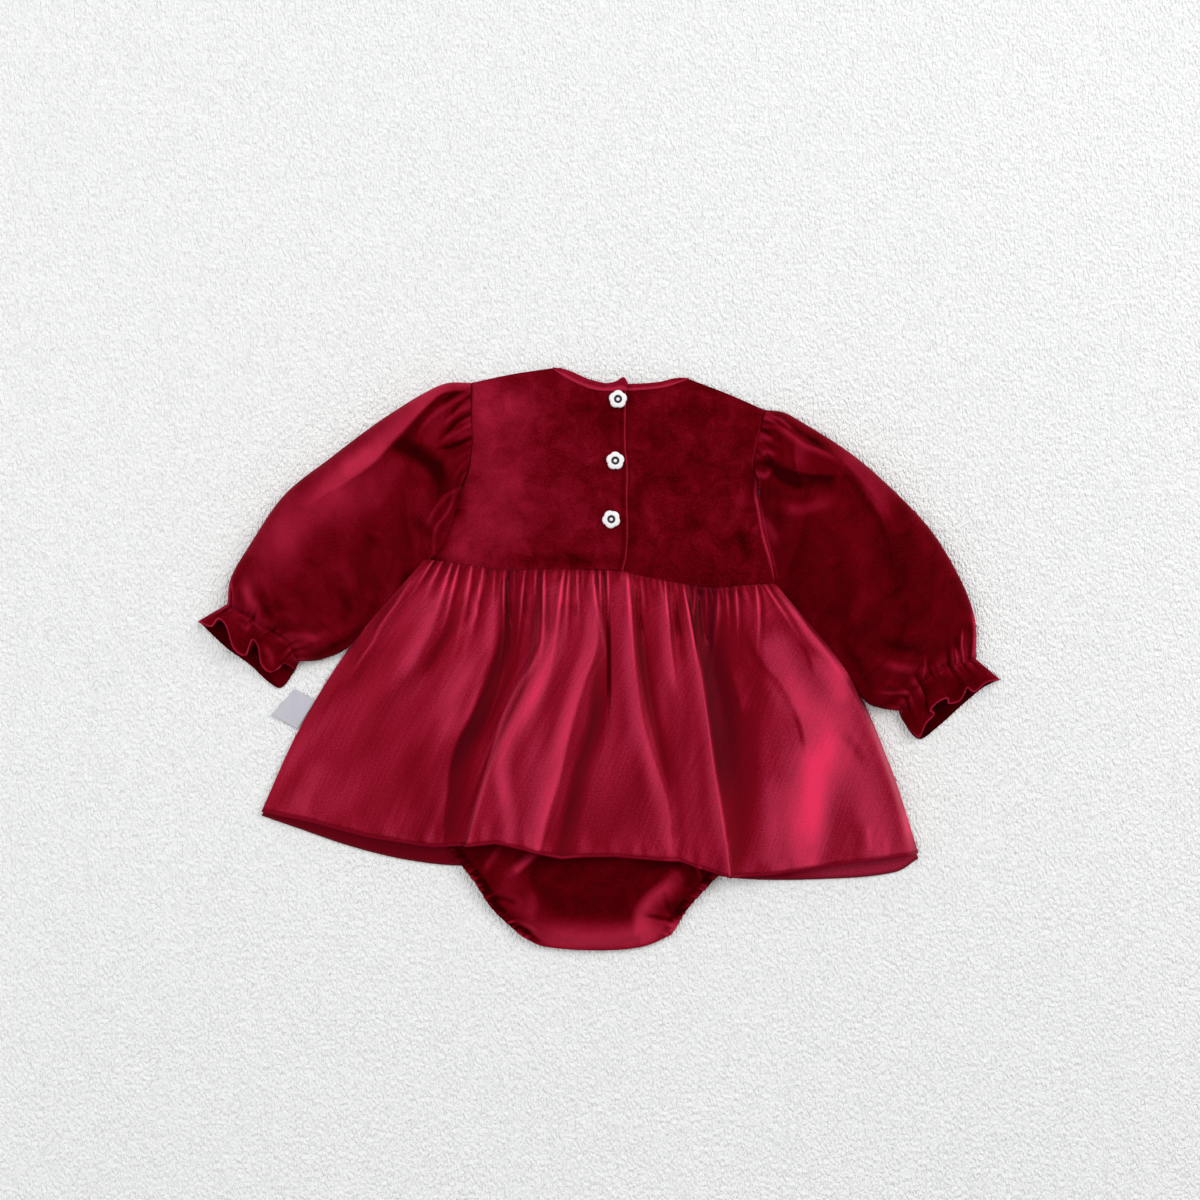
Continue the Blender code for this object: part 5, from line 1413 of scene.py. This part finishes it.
# Strokes: a painted highlight where the lift is positive, and painted shade where it is negative.
RIGHT_PAINTED_SHADING = (
    Crease(((112.7, 163), (120.7, 156.2), (129.7, 149.4), (136.5, 143.7), (146.8, 139.8), (157, 134.6),
            (164, 128)), 0.34, 1.8, 5, 0.8, 0.1),
    Crease(((126, 158), (143, 147), (155, 140)), -0.2, 3.4, 4, 0.5, 0.3),
    Crease(((113.9, 165.3), (123, 159.6), (132, 151.7)), 0.34, 1.8, 2.6, 0.8, 0.2),
    Crease(((152, 147), (164, 135), (176, 120), (187, 104), (194, 88)), 0.28, 16, 7, 0.2, 0.1),
    Crease(((156, 134), (166, 126), (178, 110), (188, 92), (194, 72)), -0.14, 3, 8, 0.4, 0.3),
    Crease(((131.6, 144), (131.6, 134), (133.4, 124.6)), 0.2, 17, 1.2, 0.4, 0.8),
    Crease(((133, 124.4), (146, 122), (160, 122.4)), -0.28, 1.6, 15, 0.9, 0.3),
    Crease(((116, 129), (124, 124), (133, 119)), -0.28, 7, 9, 0.6, 0.8),
    Crease(((118, 104), (130, 100), (142, 101), (156, 106)), 0.22, 7, 7, 0.5, 0.3),
    Crease(((108.5, 150), (114, 148), (119, 150)), 0.16, 2.4, 2.4, 0.7, 0.2),
    Crease(((107.5, 155), (114, 153), (120, 152)), -0.14, 2, 2, 0.7, 0.2),
    Crease(((113, 92), (117.5, 84), (119, 78)), 0.34, 5, 5, 0.6, 0.3),
    Crease(((108.5, 118), (108, 108), (110.4, 98), (113.8, 81), (117.6, 67.8), (121, 55)), 0.3, 1.6, 1.6, 0.7,
            0.6),
    Crease(((106.5, 124), (112, 122), (115, 127)), 0.5, 4, 2.4, 0.7, 0.2),
    Crease(((107.5, 136), (114, 138), (118, 134)), 0.34, 4, 2.4, 0.6, 0.2),
    Crease(((106, 131), (111, 131.5), (116, 130.5)), -0.16, 2.4, 2.4, 0.6, 0.6),
    Crease(((107, 145), (114, 144), (120, 140)), -0.12, 2.4, 2.4, 0.6, 0.3),
    Crease(((216, 78), (206, 48), (206, 16)), -0.09, 32, 30, 0.4, 0.4),
    Crease(((163, 12), (173, 0), (181, -14), (184, -26)), -0.1, 6, 6, 0.4, 0.3),
    Crease(((188, -3), (202, -7), (218, -8)), 0.26, 6, 5, 0.4, 0.4),
    Crease(((188, -23), (200, -23.5), (209, -23)), 0.3, 2.4, 2.4, 0.3, 0.6),
    Crease(((192, 11), (204, 7), (218, 4)), -0.16, 7, 6, 0.4, 0.4),
    Crease(((252.5, 34), (254.2, 18), (253.4, 2)), 0.75, 2.6, 2.6, 0.1, 0.8),
    Crease(((244.6, 20), (244.6, 8), (246.4, -2.5)), 0.75, 1.3, 1.3, 0.2, 0.8),
    Crease(((240, 8), (242, -3)), 0.55, 1.2, 1.2, 0.2, 0.8),
    Crease(((249.6, 24), (249.4, 10), (250, 0)), -0.12, 2.2, 2.2, 0.4, 0.8),
    Crease(((219, 2), (219.5, -6), (218.5, -14)), 0.3, 1.4, 1.4, 0.3, 0.6),
)
print("right sleeve:", len(RIGHT_CREASES), "creases,", len(RIGHT_PAINTED_SHADING), "strokes")

# %% Sleeve rings
SLEEVE_EDGE, SLEEVE_ROUND, SLEEVE_TURN, SLEEVE_END = 3.0, 0.7, 0.36, 0.2
ARMHOLE_TUCK = 0.7   # the sleeve comes this much closer to the bodice at their seam
ARMHOLE_BOW = 0.14   # share of the length over which a ring takes the armhole's bow
BORDER_END, BORDER_FADE = 0.72, 0.12  # shares of the length where the sleeve leaves the skirt's edge
FRILL_LENGTH = 22.0
ARMHOLE_GATHERS = (4.8, 1.8, 30.0)    # pitch, height and reach
CUFF_GATHERS = (4.6, 2.6, 30.0)
FRILL_WAVES = (4.6, 2.2, 16.0)

BELOW, ABOVE = np.linspace(0.0, math.pi, 76)[:-1], np.linspace(math.pi, 2.0 * math.pi, 151)[:-1]
TURN = np.concatenate([BELOW, ABOVE])
ACROSS = (1.0 - np.cos(TURN)) / 2.0   # share of the way from the inner edge to the outer one
REACH = np.abs(np.sin(TURN))          # 0 at both edges and 1 midway between them
OVER = TURN > math.pi                 # on the upper side
LIVELY = ease(2.0 * REACH)            # folds die away towards both edges
UNDERSIDE = SLEEVE_EDGE * (1.0 - np.clip(REACH / SLEEVE_TURN, 0.0, 1.0)) ** 2
STATIONS = 1.0 - (1.0 - np.linspace(0.0, 1.0, 156)) ** 1.25
BESIDE_BODY = fade((STATIONS - BORDER_END) / BORDER_FADE)
FRILL = np.linspace(0.0, 1.0, 31)[1:, None]

Sleeve = namedtuple("Sleeve", ("name", "sections", "armhole", "elastic", "frill_top", "frill_under",
                               "creases", "strokes", "nap", "border", "mirrored", "seed"))


def border_line(side, armhole, skirt_edge):
    """The line that a sleeve lies along: down the bodice's side and on down the skirt's edge."""
    corners = np.vstack([curve(side + armhole[:1])(np.linspace(1.0, 0.0, 30)), skirt_edge])
    steps = np.linspace(0.0, 1.0, 60)[:, None]
    return np.concatenate([start + (end - start) * steps for start, end in zip(corners, corners[1:])])


def lie_along(inner, border):
    """Move a sleeve's inner edge to the edge of the bodice and skirt that it lies along, but for a gap."""
    nearest = border[np.argmin(np.linalg.norm(inner[:, None] - border[None], axis=2), axis=1)]
    outwards = inner - nearest
    outwards /= np.maximum(np.linalg.norm(outwards, axis=1), 0.3)[:, None]
    share = (ease(STATIONS / 0.06) * BESIDE_BODY)[:, None]
    return inner + (nearest + outwards * SEWN - inner) * share


def sleeve_rings(sleeve):
    """Places around every ring, seen from above; the rings' heights; how far down the sleeve each one is."""
    sections = np.array(sleeve.sections)
    rows = through(sections[:, 0], sections[:, 1:], STATIONS)
    outer, inner = rows[:, :2], lie_along(rows[:, 2:4], sleeve.border)
    place = inner[:, None] + (outer - inner)[:, None] * ACROSS[:, None]
    place[..., 0] += (ARMHOLE_TUCK if sleeve.mirrored else -ARMHOLE_TUCK) * fade(STATIONS / 0.03)[:, None]
    at_armhole = np.clip(1.0 - STATIONS / ARMHOLE_BOW, 0.0, 1.0) ** 2
    at_elastic = ease((STATIONS - 1.0 + SLEEVE_END) / SLEEVE_END)
    place = place + bow(sleeve.armhole, ACROSS) * at_armhole[:, None, None]
    place = place + bow(sleeve.elastic, ACROSS) * at_elastic[:, None, None]
    return place, rows[:, 4:], walked((rows[:, :2] + rows[:, 2:4]) / 2.0)[:, None]


def seam_gathers(seam, away, pitch, height, reach, seed):
    """Gathers along a seam that runs across the sleeve."""
    length = walked(np.array(seam))[-1]
    return gather_height(ACROSS * length, away, 1.0, length, pitch, height, reach, seed)


print("a sleeve has", len(STATIONS) + len(FRILL), "rings of", len(TURN), "points")

# %% Sleeve surface
INNER_SOFT = 0.42    # share of the width over which a sleeve rises softly from its inner edge
CUFF_DIP, CUFF_WIDTH = 1.3, 2.6
CREASE_LEAST = 0.35  # what is left of a crease where the sleeve is flat
SLEEVE_WALL = 1.1


def sleeve_rise():
    """How high each point of the upper side stands, as a share of its ring's height."""
    round_rise = REACH ** SLEEVE_ROUND
    rise = np.where(ACROSS < 0.5, np.minimum(round_rise, ease(ACROSS / INNER_SOFT)), round_rise)
    return round_rise + (rise - round_rise) * (ease(STATIONS / 0.1) * BESIDE_BODY)[:, None]


def sleeve_top(sleeve, x, y, height, gathers, from_elastic):
    """Height of the upper side, with its creases, gathers and swells."""
    top = SLEEVE_EDGE + (height - SLEEVE_EDGE) * sleeve_rise()
    puffed = ease(height / sleeve.sections[-1].height - 1.0) * LIVELY
    top = top + crease_height(x, y, sleeve.creases) * np.maximum(puffed, CREASE_LEAST * LIVELY)
    top = top + gathers * LIVELY + 0.5 * undulation(x, y, 34.0, sleeve.seed + 2) * puffed
    return top - CUFF_DIP * fade(from_elastic / CUFF_WIDTH) * LIVELY


def sleeve_frill(sleeve, last, waves):
    """Rings of the frill, from the last ring of the body to the frill's own edge."""
    below = points_of(*curve(sleeve.frill_under)(ACROSS).T, UNDERSIDE)
    edge = np.where(OVER[:, None], curve(sleeve.frill_top)(ACROSS), below)
    frill = last + (edge - last) * FRILL[..., None]
    frill[..., 2] += np.where(OVER, CUFF_DIP * ease(FRILL / 0.12) + waves * ease(FRILL / 0.1), 0.0) * LIVELY
    return frill


def sleeve_nap_and_shading(sleeve, points, ribs, waves, length):
    """Nap level with painted light and shade: strokes, gather crests, outer rim sheen, lit frill edge, shade
    in the frill.
    """
    to_seam = np.minimum(length, length[-1] - length)
    crinkle_shading = np.concatenate([(ribs / 1.8 - 0.35) * fade((to_seam - 3.0) / 16.0),
                               (waves / 1.8 - 0.4) * ease(FRILL / 0.1)])
    on_frill = np.concatenate([np.zeros_like(length), FRILL])
    lit = 0.3 * crinkle_shading + 0.6 * ease((on_frill - 0.92) / 0.08) + 0.08 * ease(on_frill / 0.1)
    strokes = crease_height(points[..., 0], points[..., 1], sleeve.strokes)
    painted_rim_sheen = 0.26 * fade(REACH / 0.6) * (ACROSS > 0.5)
    return sleeve.nap + np.where(OVER, strokes + painted_rim_sheen + lit, -0.16 * ease(on_frill / 0.2))


def make_sleeve(sleeve):
    """One tube from the armhole to the elastic and through the frill; a mirrored one winds the other way."""
    place, height, length = sleeve_rings(sleeve)
    x, y = place[..., 0], place[..., 1]
    from_elastic = length[-1] - length
    at_armhole = seam_gathers(sleeve.armhole, length, *ARMHOLE_GATHERS, sleeve.seed)
    at_cuff = seam_gathers(sleeve.elastic, from_elastic, *CUFF_GATHERS, sleeve.seed + 1)
    waves = seam_gathers(sleeve.elastic, FRILL_LENGTH * FRILL, *FRILL_WAVES, sleeve.seed + 1)
    gathers = at_armhole * (0.35 + 0.65 * ease(length / 4.0)) + at_cuff
    top = sleeve_top(sleeve, x, y, height, gathers, from_elastic)
    body = points_of(x, y, np.where(OVER, top, UNDERSIDE))
    points = np.concatenate([body, sleeve_frill(sleeve, body[-1], waves)])
    down = np.concatenate([length, length[-1] + FRILL_LENGTH * FRILL])
    thread = points_of(ACROSS * 80.0 + 100.0 * OVER, down, 0.0)
    nap = sleeve_nap_and_shading(sleeve, points, at_armhole + at_cuff, waves, length)
    area = cloth_area(np.concatenate([points, points[:, :1]], axis=1))
    print(sleeve.name + ":", round(area, 4), "square metres")
    return cloth(sleeve.name, points, velvet_sleeve, SLEEVE_WALL, thread,
                 closed=True, flip=sleeve.mirrored, nap=nap)


print("share of the height midway:", sleeve_rise()[80, 150].round(3))

# %% Sleeves
# The left sleeve's nap level is set higher than the right one's: painted light that makes the whole left
# sleeve lighter.
sleeve_left = make_sleeve(Sleeve(
    "sleeve_left", SLEEVE_LEFT, ARMHOLE_LEFT, ELASTIC_LEFT, FRILL_TOP_LEFT, FRILL_UNDER_LEFT,
    LEFT_CREASES, LEFT_PAINTED_SHADING, nap=0.25, border=border_line(SIDE_LEFT, ARMHOLE_LEFT, SKIRT_LEFT_EDGE),
    mirrored=True, seed=31))
sleeve_right = make_sleeve(Sleeve(
    "sleeve_right", SLEEVE_RIGHT, ARMHOLE_RIGHT, ELASTIC_RIGHT, FRILL_TOP_RIGHT, FRILL_UNDER_RIGHT,
    RIGHT_CREASES, RIGHT_PAINTED_SHADING, nap=0.19, border=border_line(SIDE_RIGHT, ARMHOLE_RIGHT, SKIRT_RIGHT_EDGE),
    mirrored=False, seed=41))
for piece in (sleeve_left, sleeve_right):
    crisp_rim(piece)

# %% [markdown]
# ## Buttons and label
#
# The buttons are small white press caps in the shape of a flower with five petals. Their rims are rounded,
# and a hollow in the middle holds a dark ring around a light pin. One profile, turned once round with
# petals that fade towards the middle, makes all of it. The care label is a folded white tape without any
# print.

# %% Button and label finishes
PLAIN_CONTRAST = 2.0
WHITE = (1.0, 1.0, 1.0, 1.0)
PLASTIC_DARK, PLASTIC_LIGHT = (0.82, 0.81, 0.82, 1.0), (0.93, 0.93, 0.94, 1.0)
HOLLOW_DARK, HOLLOW_LIGHT = (0.020, 0.008, 0.016, 1.0), (0.050, 0.025, 0.040, 1.0)
TAPE_DARK, TAPE_LIGHT = (0.44, 0.43, 0.49, 1.0), (0.60, 0.59, 0.64, 1.0)


def make_plain(name, dark, light, roughness, patch_size, relief, contrast=PLAIN_CONTRAST, tint=WHITE):
    """A small part's finish that varies between two colours; relief is its bump's strength and depth."""
    made, tree, shader = new_material(name)
    place = add_node(tree, "ShaderNodeTexCoord").outputs["Object"]
    nap = group_node(tree, nap_group, {"Vector": place, "Patch Size": patch_size, "Contrast": contrast})
    set_inputs(tree, shader, {
        "Base Color": mix_colour(tree, nap["Mask"], dark, light), "Roughness": roughness,
        "Specular Tint": tint, "Normal": bump(tree, nap["Height"], *relief)})
    return made


def make_label_tape():
    """White woven tape with a fine rib."""
    made, tree, shader = new_material("label_tape")
    threads = group_node(tree, threads_group, {
        "Vector": attribute(tree, "thread", "Vector"), "Threads per Metre": 12000.0})
    set_inputs(tree, shader, {
        "Base Color": mix_colour(tree, threads["Streaks"], TAPE_DARK, TAPE_LIGHT), "Roughness": 0.6,
        "Normal": bump(tree, threads["Height"], 0.4, 0.0002)})
    return made


button_plastic = make_plain("button_plastic", PLASTIC_DARK, PLASTIC_LIGHT, 0.25, 0.004, (0.05, 0.0001), 1.0)
button_hollow = make_plain("button_hollow", HOLLOW_DARK, HOLLOW_LIGHT, 0.5, 0.002, (0.3, 0.0002))
label_tape = make_label_tape()
print("finishes:", button_plastic.name, button_hollow.name, label_tape.name)

# %% Buttons
Ring = namedtuple("Ring", "radius height petals hollow")  # mm; share of the petals; in the dark hollow or not
BUTTON_PROFILE = (
    Ring(4.6, 0, 1, False),
    Ring(5.5, 0.3, 1, False),
    Ring(5.95, 0.9, 1, False),
    Ring(6, 1.3, 1, False),
    Ring(5.85, 1.8, 1, False),
    Ring(5.5, 2.25, 1, False),
    Ring(4.9, 2.52, 0.9, False),
    Ring(4.2, 2.6, 0.7, False),
    Ring(3.3, 2.6, 0.35, False),
    Ring(3.1, 2.58, 0, False),
    Ring(2.95, 2.48, 0, False),
    Ring(2.85, 2.2, 0, True),
    Ring(2.8, 1.2, 0, True),
    Ring(1.35, 1, 0, True),
    Ring(1.25, 1.2, 0, True),
    Ring(1.2, 1.7, 0, False),
    Ring(0.95, 1.9, 0, False),
    Ring(0.4, 1.98, 0, False),
)
BUTTONS = {"button_top": (12.8, 174.5, 16.0), "button_middle": (11.0, 133.0, 18.0),
           "button_bottom": (8.3, 93.5, 45.0)}   # place in X and Y, and the angle of a petal
BUTTON_SPOTS = 90
PETALS, PETAL_DEPTH, PETAL_MIDDLE = 5, 0.065, 0.965


def make_button(name, x, y, phase):
    """One flower-shaped cap on the placket's upper layer."""
    turn = full_turn(BUTTON_SPOTS)
    wave = 2.0 * np.abs(np.cos(PETALS * (turn - math.radians(phase)) / 2.0)) ** 0.8 - 1.0
    radius, height, petals, hollow = np.array(BUTTON_PROFILE, float).T[..., None]
    reach = radius * (PETAL_MIDDLE + PETAL_DEPTH * petals * wave)
    points = points_of(x + reach * np.cos(turn), y + reach * np.sin(turn), 3.0 * LAYER + BODY_RISE + height)
    mesh = mesh_from(name, points, closed_faces(len(BUTTON_PROFILE), BUTTON_SPOTS))
    piece = link(name, mesh, [button_plastic, button_hollow], name)
    dark = np.repeat(hollow[1:] * hollow[:-1], BUTTON_SPOTS)
    mesh.polygons.foreach_set("material_index", np.append(dark, (0, 0)).astype(np.int32))
    return piece


buttons = [make_button(name, *place) for name, place in BUTTONS.items()]
print("buttons:", [button.name for button in buttons])

# %% Care label
LABEL_CORNERS = ((-192.5, -28.9), (-206.6, -21.6), (-222.4, -38.8), (-205.1, -48.9))
LABEL_TAPE, LABEL_WALL = 1.0, 0.5


def make_label():
    """Folded tape, drawn as one sheet that rises a little towards its far end and waves slightly."""
    foot, tip, end, heel = np.array(LABEL_CORNERS)
    u, v = net(40, 30)
    across, along = u[..., None], v[..., None]
    place = (heel * (1 - across) + foot * across) * (1 - along) + (end * (1 - across) + tip * across) * along
    sag = 0.8 * ease(v / 0.9) * (1.0 - 0.4 * u)
    z = LABEL_TAPE * 0.6 + sag + 0.2 * np.sin(3.0 * u + 2.0 * v)
    points = points_of(place[..., 0], place[..., 1], z)
    print("label:", round(cloth_area(points), 5), "square metres")
    return cloth("care_label", points, label_tape, LABEL_WALL, points)


care_label = make_label()

# %% [markdown]
# ## Stitches
#
# Seams hold all of this together, and a row of stitches is a row of short beads that are sunk halfway into
# the cloth. Each row follows a line of points on its cloth, and all its beads are one mesh.

# %% Stitch rows
THREAD_DARK, THREAD_LIGHT = (0.040, 0.0003, 0.003, 1.0), (0.100, 0.0015, 0.010, 1.0)
THREAD_TINT = (1.0, 0.03, 0.08, 1.0)
CROSS_SPOTS = 6
BEAD_PROFILE = ((-1.0, 0.25), (-0.7, 0.85), (0.0, 1.0), (0.7, 0.85), (1.0, 0.25))  # place along it, thickness


def make_stitches(name, line, pitch, length, radius, rise):
    """Beads of thread along a line of points in millimetres."""
    pace = walked(line)
    middles = np.arange(pitch, pace[-1] - pitch / 2.0, pitch)
    start, end = (where_reached(line, pace, middles + away) for away in (-length / 2.0, length / 2.0))
    along = (end - start) / np.linalg.norm(end - start, axis=1)[:, None]
    side = np.cross(along, (0.0, 0.0, 1.0))
    side /= np.linalg.norm(side, axis=1)[:, None]
    up = np.cross(side, along)
    place, size = np.array(BEAD_PROFILE).T[..., None]
    turn = full_turn(CROSS_SPOTS)
    middle = (start + end) / 2.0 + (0.0, 0.0, rise)
    centre = middle[:, None] + along[:, None] * place * length / 2.0
    points = (centre[:, :, None] + side[:, None, None] * (radius * size * np.cos(turn))[..., None]
              + up[:, None, None] * (radius * size * np.sin(turn))[..., None])
    bead, count = closed_faces(len(BEAD_PROFILE), CROSS_SPOTS), len(BEAD_PROFILE) * CROSS_SPOTS
    faces = [[spot + number * count for spot in face] for number in range(len(middles)) for face in bead]
    piece = link(name, mesh_from(name, points, faces), [thread_finish])
    print(name + ":", len(middles), "stitches")
    return piece


thread_finish = make_plain("stitch_thread", THREAD_DARK, THREAD_LIGHT, 0.6, 0.003, (0.3, 0.0002),
                           tint=THREAD_TINT)
from_hem = np.linalg.norm(skirt_net[:, 200, :2] - skirt_net[0, 200, :2], axis=1)
hem_row = int(np.argmin(np.abs(from_hem - SEAM_LINE)))
hem_stitches = make_stitches("stitches_hem", skirt_net[hem_row], pitch=2.3, length=2.0, radius=0.22,
                             rise=0.04)
from_lap = left_net[60, :, 0] - left_net[60, -1, 0]
lap_line = left_net[4:66, int(np.argmin(np.abs(from_lap - PLACKET_SEAM)))]
placket_stitches = make_stitches("stitches_placket", lap_line, pitch=2.6, length=1.9, radius=0.16,
                                 rise=-0.03)

# %% [markdown]

# %% [markdown]
# ## Floor, light and camera
#
# The garment lies on a white, finely grained surface. A pale world gives most of the light; a wide soft
# lamp low on the left draws the gloss on the folds, and a higher one at the upper right throws the soft
# shadow. Each lamp is given by the share of white that it adds on the table, so that together they come to
# a level of one.

# %% Floor
FLOOR_REACH, FLOOR_DOWN = 3.0, 0.0003                       # metres
GRAIN_STRETCH, GRAIN_PATCH, GRAIN_SIZE, GRAIN_CONTRAST = (1.5, 0.8, 1.0), 0.4, 0.0024, 0.6
PAPER_DARK, PAPER_LIGHT = (0.93, 0.945, 0.935, 1.0), (0.975, 0.98, 0.975, 1.0)


def make_floor():
    """A large white sheet with the fine grain of embossed paper."""
    mesh = bpy.data.meshes.new("floor")
    corners = np.array([(-1, -1), (1, -1), (1, 1), (-1, 1)]) * FLOOR_REACH
    mesh.from_pydata([(*corner, -FLOOR_DOWN) for corner in corners], [], [(0, 1, 2, 3)])
    made, tree, shader = new_material("floor")
    place = add_node(tree, "ShaderNodeTexCoord").outputs["Object"]
    stretched = add_node(tree, "ShaderNodeMapping", {"Vector": place, "Scale": GRAIN_STRETCH}).outputs[0]
    nap = group_node(tree, nap_group, {
        "Vector": stretched, "Patch Size": GRAIN_PATCH, "Pile Size": GRAIN_SIZE, "Contrast": GRAIN_CONTRAST})
    set_inputs(tree, shader, {
        "Base Color": mix_colour(tree, nap["Mask"], PAPER_DARK, PAPER_LIGHT), "Roughness": 0.9,
        "Normal": bump(tree, nap["Height"], 1.0, 0.003)})
    mesh.materials.append(made)
    sheet = show("floor", mesh)
    return sheet


floor = make_floor()
print("floor:", floor.name, "2 x", FLOOR_REACH, "metres wide")

# %% World
WORLD_ZENITH, WORLD_LOW, WORLD_LEFT = 0.37, 0.34, 0.12  # strength overhead, and added low and at the left


def make_world():
    """A pale room: dim overhead, brighter towards the walls, brightest at the left."""
    world = bpy.data.worlds.new("studio")
    world.use_nodes = True
    tree = world.node_tree
    place = add_node(tree, "ShaderNodeTexCoord").outputs["Generated"]
    way = add_node(tree, "ShaderNodeSeparateXYZ", {0: place}).outputs
    low = math_node(tree, "SUBTRACT", 1.0, math_node(tree, "MAXIMUM", way[2], 0.0))
    left = math_node(tree, "MAXIMUM", math_node(tree, "MULTIPLY", way[0], -1.0), 0.0)
    added = math_node(tree, "ADD", math_node(tree, "MULTIPLY", low, WORLD_LOW),
                      math_node(tree, "MULTIPLY", left, WORLD_LEFT))
    set_inputs(tree, tree.nodes["Background"], {
        "Color": WHITE, "Strength": math_node(tree, "ADD", added, WORLD_ZENITH)})
    bpy.context.scene.world = world
    return world


studio = make_world()
print("world:", studio.name)

# %% Lamps
Lamp = namedtuple("Lamp", "name place size share specular")  # share: of white, on the table
LAMPS = (
    Lamp("left_soft", (-1.45, 0.35, 1.85), 1.5, 0.24, 1.5),
    Lamp("upper_right", (1.90, 1.48, 1.90), 1.8, 0.35, 0.10),
)


def area_light(lamp):
    """A square lamp that faces the origin and adds its share of white on the table."""
    light = bpy.data.lights.new(lamp.name, "AREA")
    place = Vector(lamp.place)
    light.size = lamp.size
    light.energy = lamp.share * math.pi ** 2 * place.length ** 2 / (place.z / place.length)
    light.specular_factor = lamp.specular
    shown = show(lamp.name, light)
    shown.location = place
    shown.rotation_euler = place.to_track_quat("Z", "Y").to_euler()
    return shown


lamps = [area_light(lamp) for lamp in LAMPS]
print("lamps:", [(lamp.name, round(lamp.data.energy, 2)) for lamp in lamps])
bpy.context.scene.view_settings.view_transform = "Standard"

# %% Camera
camera = show("camera", bpy.data.cameras.new("camera"))
camera.data.lens = 50.0
camera.data.sensor_width = 36.0
camera.location = (0.0007, 0.040, 1.1333)
bpy.context.scene.camera = camera
print("camera:", camera.data.lens, "mm lens,", camera.location.z, "metres above the table")

# %% [markdown]
# ## Triangles
#
# The triangles of each dressed piece are counted and printed, and so is their sum.

# %% Count the triangles
triangles = 0
for name, piece in made_pieces.items():
    shown = piece.evaluated_get(bpy.context.evaluated_depsgraph_get()).to_mesh()
    count = sum(len(face.vertices) - 2 for face in shown.polygons)
    triangles += count
    print(name, count, "triangles")
print("all pieces:", triangles, "triangles")
